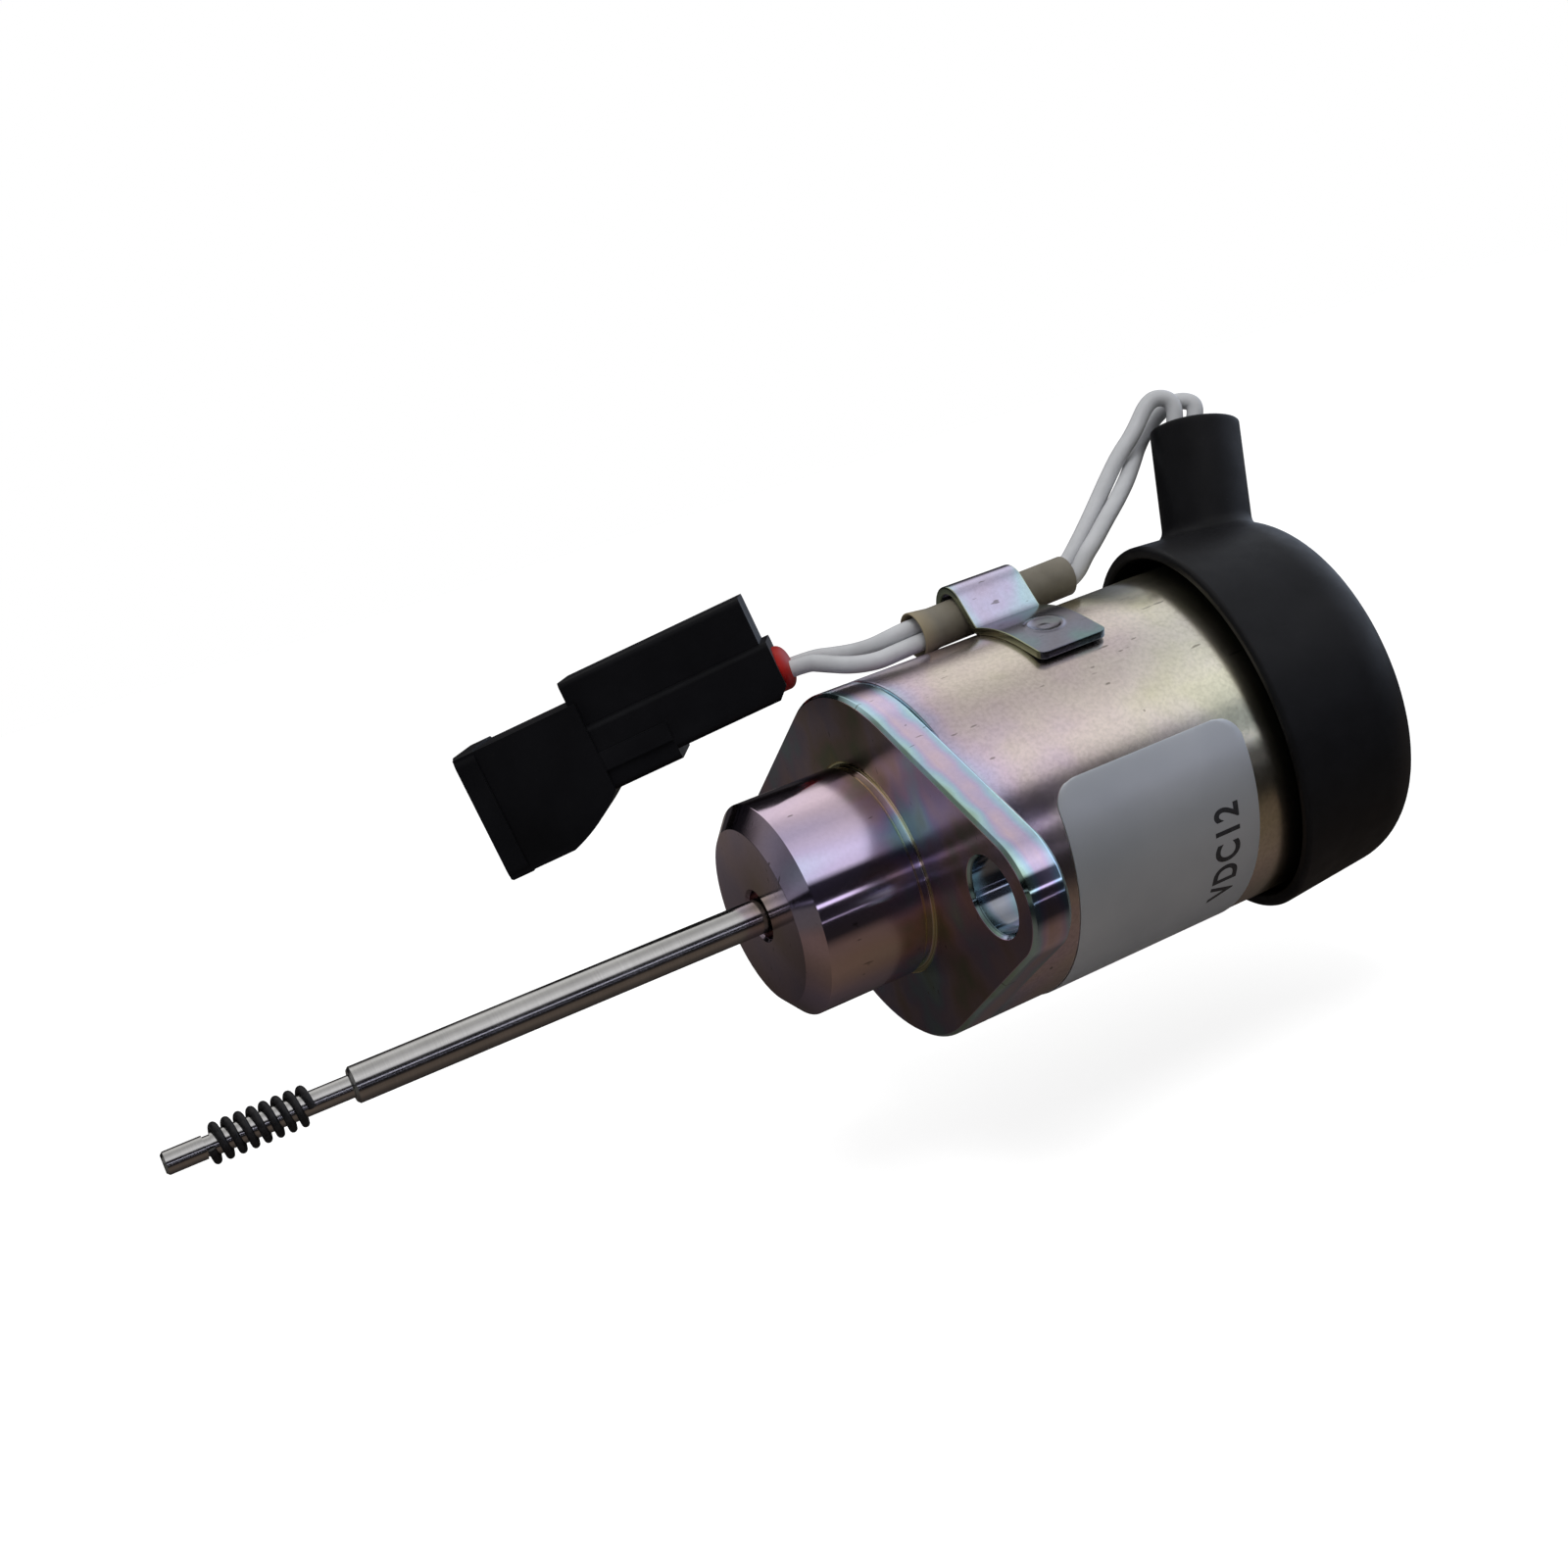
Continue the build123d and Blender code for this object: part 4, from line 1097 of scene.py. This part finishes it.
# %% Rod and spring
rod_steel, shader, spot = new_finish("rod_steel", 1.0, 0.18)
rings = noise(spot, 1.0, 3.0, 0.6, stretch=(9.0, 0.05, 0.05))
smudge = noise(spot, 0.25, 3.0, 0.55)
tone = ramp(rings, [(0.3, (0.60, 0.59, 0.57)), (0.7, (0.72, 0.71, 0.69))])
fill(shader, {
    "Base Color": blend(0.35, tone, ramp(smudge, [(0.3, 0.45), (0.7, 0.75)]), "MULTIPLY"),
    "Roughness": ramp(smudge, [(0.3, 0.12), (0.7, 0.20)]),
    "Normal": bump(rings, 0.05, 0.00001),
})
dress(rod_steel, rod)

black_steel, shader, spot = new_finish("black_oxide", 0.0, 0.35)
patch = noise(spot, 1.6, 3.0, 0.6)
fill(shader, {
    "Base Color": ramp(patch, [(0.35, (0.006, 0.006, 0.007)), (0.7, (0.018, 0.017, 0.018))]),
    "Roughness": ramp(patch, [(0.3, 0.28), (0.7, 0.5)]),
    "Normal": bump(noise(spot, 8.0), 0.2, 0.00002),
    "Specular IOR Level": 0.22,
})
dress(black_steel, spring, nodes["rod_clip"])

# %% [markdown]
# ## Rubber, plastic and film
#
# The boot is moulded rubber: very dark, with a broad soft sheen and a barely dusty look. The
# plug is harder and smoother. The wires have a soft PVC-like skin, slightly dirty. The label
# is a satin silver film, which is why it looks mid grey where it faces the room.


# %% Dark mouldings
def moulding(name, dark, light, roughness, spread, grain_scale, grain, dust=0.0, gloss=0.5):
    """A moulded plastic or rubber: two close tones, uneven sheen and a fine grain."""
    finish, shader, spot = new_finish(name, 0.0, roughness)
    tone = ramp(noise(spot, 0.12, 4.0, 0.6), [(0.35, dark), (0.68, light)])
    if dust:
        fleck = ramp(noise(spot, 2.2, 3.0, 0.7), [(0.62, 0.0), (0.78, 1.0)])
        tone = blend(calc("MULTIPLY", fleck, dust), tone, (0.16, 0.16, 0.17))
    sheen = [(0.3, roughness - spread), (0.7, roughness + spread)]
    fill(shader, {
        "Base Color": tone,
        "Roughness": ramp(noise(spot, 0.3, 3.0, 0.55), sheen),
        "Normal": bump(noise(spot, grain_scale, 3.0, 0.6), grain, 0.00003),
        "Specular IOR Level": gloss,
    })
    return finish


dress(moulding("boot_rubber", (0.0045, 0.0045, 0.0052), (0.0075, 0.0075, 0.009),
               0.46, 0.06, 2.5, 0.15, 0.03, 0.17), boot, nodes["rear_stop"])
dress(moulding("plug_plastic", (0.0045, 0.0045, 0.0055), (0.0065, 0.0065, 0.008),
               0.42, 0.05, 2.5, 0.08, 0.02, 0.10), plug)
dress(moulding("seal_rubber", (0.32, 0.005, 0.002), (0.42, 0.010, 0.004),
               0.42, 0.05, 2.5, 0.10, gloss=0.20), seal)
dress(moulding("wire_insulation", (0.50, 0.51, 0.53), (0.60, 0.61, 0.635),
               0.34, 0.07, 1.5, 0.10), wire_upper, wire_lower)

sleeve_plastic = moulding("sleeve_plastic", (0.13, 0.115, 0.085), (0.20, 0.18, 0.14),
                          0.55, 0.06, 3.0, 0.3)
shader, tint, place = so_far(sleeve_plastic)
mouth = calc("MULTIPLY_ADD", place["X"], 0.4, 7.6, clamp=True)
fill(shader, {"Base Color": blend(calc("MULTIPLY", mouth, 0.6), tint, (0.34, 0.27, 0.15))})
dress(sleeve_plastic, sleeve)

# %% Label film and ink
film, shader, spot = new_finish("label_film", 0.55, 0.36)
cloud = noise(spot, 0.08, 2.0, 0.5)
brush = noise(spot, 1.5, 3.0, 0.6)
fill(shader, {
    "Base Color": ramp(cloud, [(0.3, (0.46, 0.48, 0.51)), (0.7, (0.53, 0.545, 0.57))]),
    "Roughness": ramp(brush, [(0.3, 0.33), (0.7, 0.40)]),
    "Normal": bump(brush, 0.06, 0.00002),
})
dress(film, label)

ink, shader, spot = new_finish("label_ink", 0.0, 0.5)
ink_tones = [(0.3, (0.012, 0.012, 0.014)), (0.7, (0.03, 0.03, 0.035))]
fill(shader, {"Base Color": ramp(noise(spot, 3.0), ink_tones)})
dress(ink, rating)

# %% [markdown]
# ## Pieces inside
#
# Nobody sees these while the part is whole, but it can be taken apart, so each gets the
# finish that it has in such a solenoid: a sintered bronze bush, turned iron, drawn brass,
# nylon, lacquered copper, yellow tape and tinned tabs.


# %% Inner metals and plastics
def inner_metal(name, dark, light, roughness, along_x, scale):
    """A plain metal with tool marks, which are drawn out round X where along_x is above 1."""
    finish, shader, spot = new_finish(name, 1.0, roughness)
    marks = noise(spot, scale, 4.0, 0.6, stretch=(along_x, 1, 1))
    fill(shader, {
        "Base Color": ramp(marks, [(0.3, dark), (0.7, light)]),
        "Roughness": ramp(marks, [(0.3, roughness - 0.06), (0.7, roughness + 0.08)]),
        "Normal": bump(marks, 0.25, 0.00003),
    })
    return finish


tabs_and_pins = [nodes[name] for name in ("tab_upper", "tab_lower", "pin_far", "pin_near")]
for name, dark, light, roughness, along_x, scale, pieces in (
    ("bronze", (0.50, 0.32, 0.15), (0.64, 0.44, 0.24), 0.42, 1, 4.0, [nodes["front_bush"]]),
    ("soft_iron", (0.38, 0.38, 0.40), (0.54, 0.54, 0.55), 0.34, 8, 1.0,
     [nodes["pole_core"], nodes["plunger"]]),
    ("plate_zinc", (0.60, 0.58, 0.46), (0.72, 0.64, 0.60), 0.30, 1, 0.4, [nodes["rear_plate"]]),
    ("brass", (0.72, 0.55, 0.26), (0.82, 0.66, 0.36), 0.26, 6, 1.0,
     [nodes["guide_tube"], nodes["shim_washer"]]),
    ("tinned_brass", (0.68, 0.66, 0.60), (0.82, 0.80, 0.76), 0.30, 1, 3.0, tabs_and_pins),
    ("spring_wire", (0.42, 0.42, 0.43), (0.60, 0.60, 0.60), 0.30, 1, 3.0, [return_coil]),
):
    dress(inner_metal(name, dark, light, roughness, along_x, scale), *pieces)

copper, shader, spot = new_finish("copper_winding", 0.9, 0.30)
waves = add(
    copper.node_tree, "ShaderNodeTexWave",
    {"Vector": spot, "Scale": 0.5, "Distortion": 0.4, "Detail": 1.0}, bands_direction="X",
).outputs[0]
fill(shader, {
    "Base Color": ramp(waves, [(0.2, (0.30, 0.11, 0.05)), (0.8, (0.78, 0.38, 0.20))]),
    "Normal": bump(waves, 0.6, 0.0001),
})
dress(copper, nodes["coil_winding"])

for name, dark, light, roughness, spread, grain_scale, grain, node in (
    ("bobbin_nylon", (0.74, 0.72, 0.64), (0.82, 0.80, 0.73), 0.42, 0.05, 3.0, 0.1, "coil_bobbin"),
    ("coil_tape", (0.70, 0.50, 0.06), (0.78, 0.58, 0.10), 0.30, 0.05, 2.0, 0.1, "coil_wrap"),
    ("cap_moulding", (0.018, 0.018, 0.020), (0.035, 0.035, 0.038), 0.45, 0.06, 4.0, 0.25,
     "terminal_cap"),
    ("lock_plastic", (0.62, 0.16, 0.02), (0.72, 0.22, 0.03), 0.42, 0.05, 4.0, 0.1, "pin_lock"),
):
    dress(moulding(name, dark, light, roughness, spread, grain_scale, grain), nodes[node])

# %% [markdown]
# ## The cords
#
# The two wires end in the plug.

# %% [markdown]
# ## Studio
#
# The photograph is a cut-out on white, but its metal shows the room it was taken in: a broad
# light overhead, a dark band at eye level and a dim table. So the world is white to the
# camera, and to everything else it is that room, drawn as a function of direction. The
# floor is pale and keeps the object's soft shadow.


# %% Make the world
def shown_rays(tree):
    """1 for the rays that show the background: camera, mirror and glass rays."""
    path = add(tree, "ShaderNodeLightPath").outputs
    shown = calc("MAXIMUM", path["Is Camera Ray"], path["Is Glossy Ray"])
    return calc("MAXIMUM", shown, path["Is Transmission Ray"])


world = bpy.data.worlds.new("studio")
world.use_nodes = True
scene.world = world
tree = world.node_tree
tree.nodes.clear()
direction = split(add(tree, "ShaderNodeTexCoord").outputs["Generated"])
level = calc("MULTIPLY_ADD", direction["Z"], 0.5, 0.5)
room = ramp(level, [(0.0, 0.12), (0.45, 0.12), (0.62, 0.16), (0.80, 0.62), (1.0, 0.75)])
shown = shown_rays(tree)
strength = calc("MULTIPLY_ADD", calc("SUBTRACT", 1.0, shown), room, shown)
light = add(tree, "ShaderNodeBackground", {"Color": (1, 1, 1, 1), "Strength": strength})
add(tree, "ShaderNodeOutputWorld", {"Surface": light.outputs[0]})
print("world made")

# %% Lay the floor
floor_half, floor_height = 1.5, -0.040
floor_mesh = bpy.data.meshes.new("floor")
floor_corners = [(-1, -1), (1, -1), (1, 1), (-1, 1)]
floor_corners = [(x * floor_half, y * floor_half, floor_height) for x, y in floor_corners]
floor_mesh.from_pydata(floor_corners, [], [(0, 1, 2, 3)])
floor = add_object("floor", floor_mesh)
pale, shader = new_finish("pale_floor", 0.0, 0.9)[:2]
fill(shader, {
    "Base Color": (0.5, 0.5, 0.5, 1), "Specular IOR Level": 0.1, "Emission Color": (1, 1, 1, 1),
    "Emission Strength": calc("MULTIPLY", shown_rays(pale.node_tree), 0.78),
})
floor_mesh.materials.append(pale)

# %% [markdown]
# ## Mirror cards
#
# Bright metal on plain white loses its shape, so the studio has two things that only mirror
# rays see, and that cast no shadow and take no light away. One is a dome with the room's
# lights and darks. The other is the table. The dome's tone goes by the angle round the X
# axis from the camera's horizon (0 degrees) over the top (90) to the far horizon (180), which
# is how the nose and the rod see it: dark with a bright strip at each horizon, bright above.


# %% Make the mirror cards
def card(name, profile, paint):
    """A glowing round card that only mirror rays see; paint makes its colour from its place."""
    grid = turned(profile, full_turn[::2], axis=(0, 0, 1), start=(1, 0, 0))
    piece = surface(name, [grid * 1000])
    glow = bpy.data.materials.new(name)
    glow.use_nodes = True
    tree = glow.node_tree
    tree.nodes.clear()
    place = split(add(tree, "ShaderNodeTexCoord").outputs["Object"])
    emit = add(tree, "ShaderNodeEmission", {"Color": paint(place), "Strength": 1.0})
    add(tree, "ShaderNodeOutputMaterial", {"Surface": emit.outputs[0]})
    piece.data.materials.append(glow)
    piece.visible_camera = False
    piece.visible_diffuse = False
    piece.visible_transmission = False
    piece.visible_volume_scatter = False
    piece.visible_shadow = False


dome_radius, dome_from, dome_span = 0.9, -10, 200
dome_tones = [
    (-10, (0.012, 0.012, 0.015)), (0.0, (0.012, 0.012, 0.015)), (0.8, (1.20, 1.20, 1.50)),
    (3.2, (1.20, 1.20, 1.50)), (4.2, (0.012, 0.012, 0.015)), (24, (0.016, 0.015, 0.02)),
    (30, (0.80, 0.80, 0.84)), (44, (0.92, 0.92, 0.95)), (58, (0.74, 0.74, 0.76)),
    (80, (0.52, 0.52, 0.53)), (98, (0.56, 0.56, 0.56)), (114, (0.80, 0.80, 0.80)),
    (130, (0.80, 0.80, 0.80)), (140, (0.30, 0.29, 0.29)), (147, (0.03, 0.03, 0.03)),
    (190, (0.025, 0.025, 0.027)),
]
dome_stops = [((angle - dome_from) / dome_span, colour) for angle, colour in dome_tones]


def dome_paint(place):
    """Tone by the angle round X, dimmed towards the front and the back."""
    around = calc("ARCTAN2", place["Z"], place["Y"])
    share = calc("MULTIPLY_ADD", around, math.degrees(1) / dome_span, -dome_from / dome_span)
    ahead = calc("MULTIPLY_ADD", place["X"], 0.5 / dome_radius, 0.5)
    side = ramp(ahead, [(0.10, 0.45), (0.25, 1.0), (0.62, 1.0), (0.80, 0.22), (1.0, 0.22)])
    tone = blend(1.0, ramp(share, dome_stops), side, "MULTIPLY")
    window = ramp(ahead, [(0.0, (0.7, 0.8, 1.0)), (0.14, (0.7, 0.8, 1.0)), (0.22, 0.0)])
    return blend(1.0, tone, window, "ADD")


table_height, table_half = -0.036, 0.4
# From -0.07 m to 0 m the table is darker: a painted shadow of the part.
table_tones = [
    (-0.40, (0.14, 0.13, 0.12)), (-0.26, (0.13, 0.12, 0.11)), (-0.16, (0.075, 0.068, 0.06)),
    (-0.07, (0.03, 0.026, 0.024)), (-0.03, (0.03, 0.026, 0.024)), (0.0, (0.06, 0.05, 0.045)),
    (0.02, (0.12, 0.095, 0.08)), (0.046, (0.11, 0.085, 0.07)), (0.066, (0.014, 0.013, 0.014)),
    (0.150, (0.012, 0.012, 0.015)), (0.153, (0.60, 0.60, 0.80)), (0.160, (0.60, 0.60, 0.80)),
    (0.163, (0.012, 0.012, 0.015)), (0.40, (0.012, 0.012, 0.015)),
]
table_stops = [((y + table_half) / (2 * table_half), colour) for y, colour in table_tones]


def table_paint(place):
    """Brown close to the part and darker just behind and under it, which is a painted shadow of the
    part; black further out on the camera's side with one bright strip; dim brown behind.
    """
    share = calc("MULTIPLY_ADD", place["Y"], 0.5 / table_half, 0.5)
    ahead = ramp(place["X"], [(0.09, 0.0), (0.15, 1.0)])
    return blend(ahead, ramp(share, table_stops), (0.085, 0.085, 0.08))


rise = np.radians(np.linspace(-2.3, 90, 40))
dome_profile = dome_radius * np.column_stack([np.sin(rise), np.cos(rise)])
dome_profile[-1, 1] = 0
card("dome", dome_profile, dome_paint)
card("table", [(table_height, dome_radius), (table_height, 0.0)], table_paint)

# %% Hang the lamp
lamp_place, lamp_target = np.array([0.10, 0.30, 0.60]), np.array([-0.01, 0, 0])
lamp_data = bpy.data.lights.new("key", "AREA")
lamp_data.shape = "SQUARE"
lamp_data.size = 0.30
lamp_data.energy = 1.6
key = add_object("key", lamp_data)
away = unit(lamp_place - lamp_target)
side = unit(np.cross([0, 0, 1], away))
aim(key, side, np.cross(away, side), away, lamp_place)
key.visible_glossy = False
print("lamp", key.name, "of", lamp_data.energy, "W")

# %% [markdown]
# ## Finish
#
# The colours are written as they should appear, so the view transform is the plain one.

# %% Set the view transform
scene.view_settings.view_transform = "Standard"
bpy.context.view_layer.update()
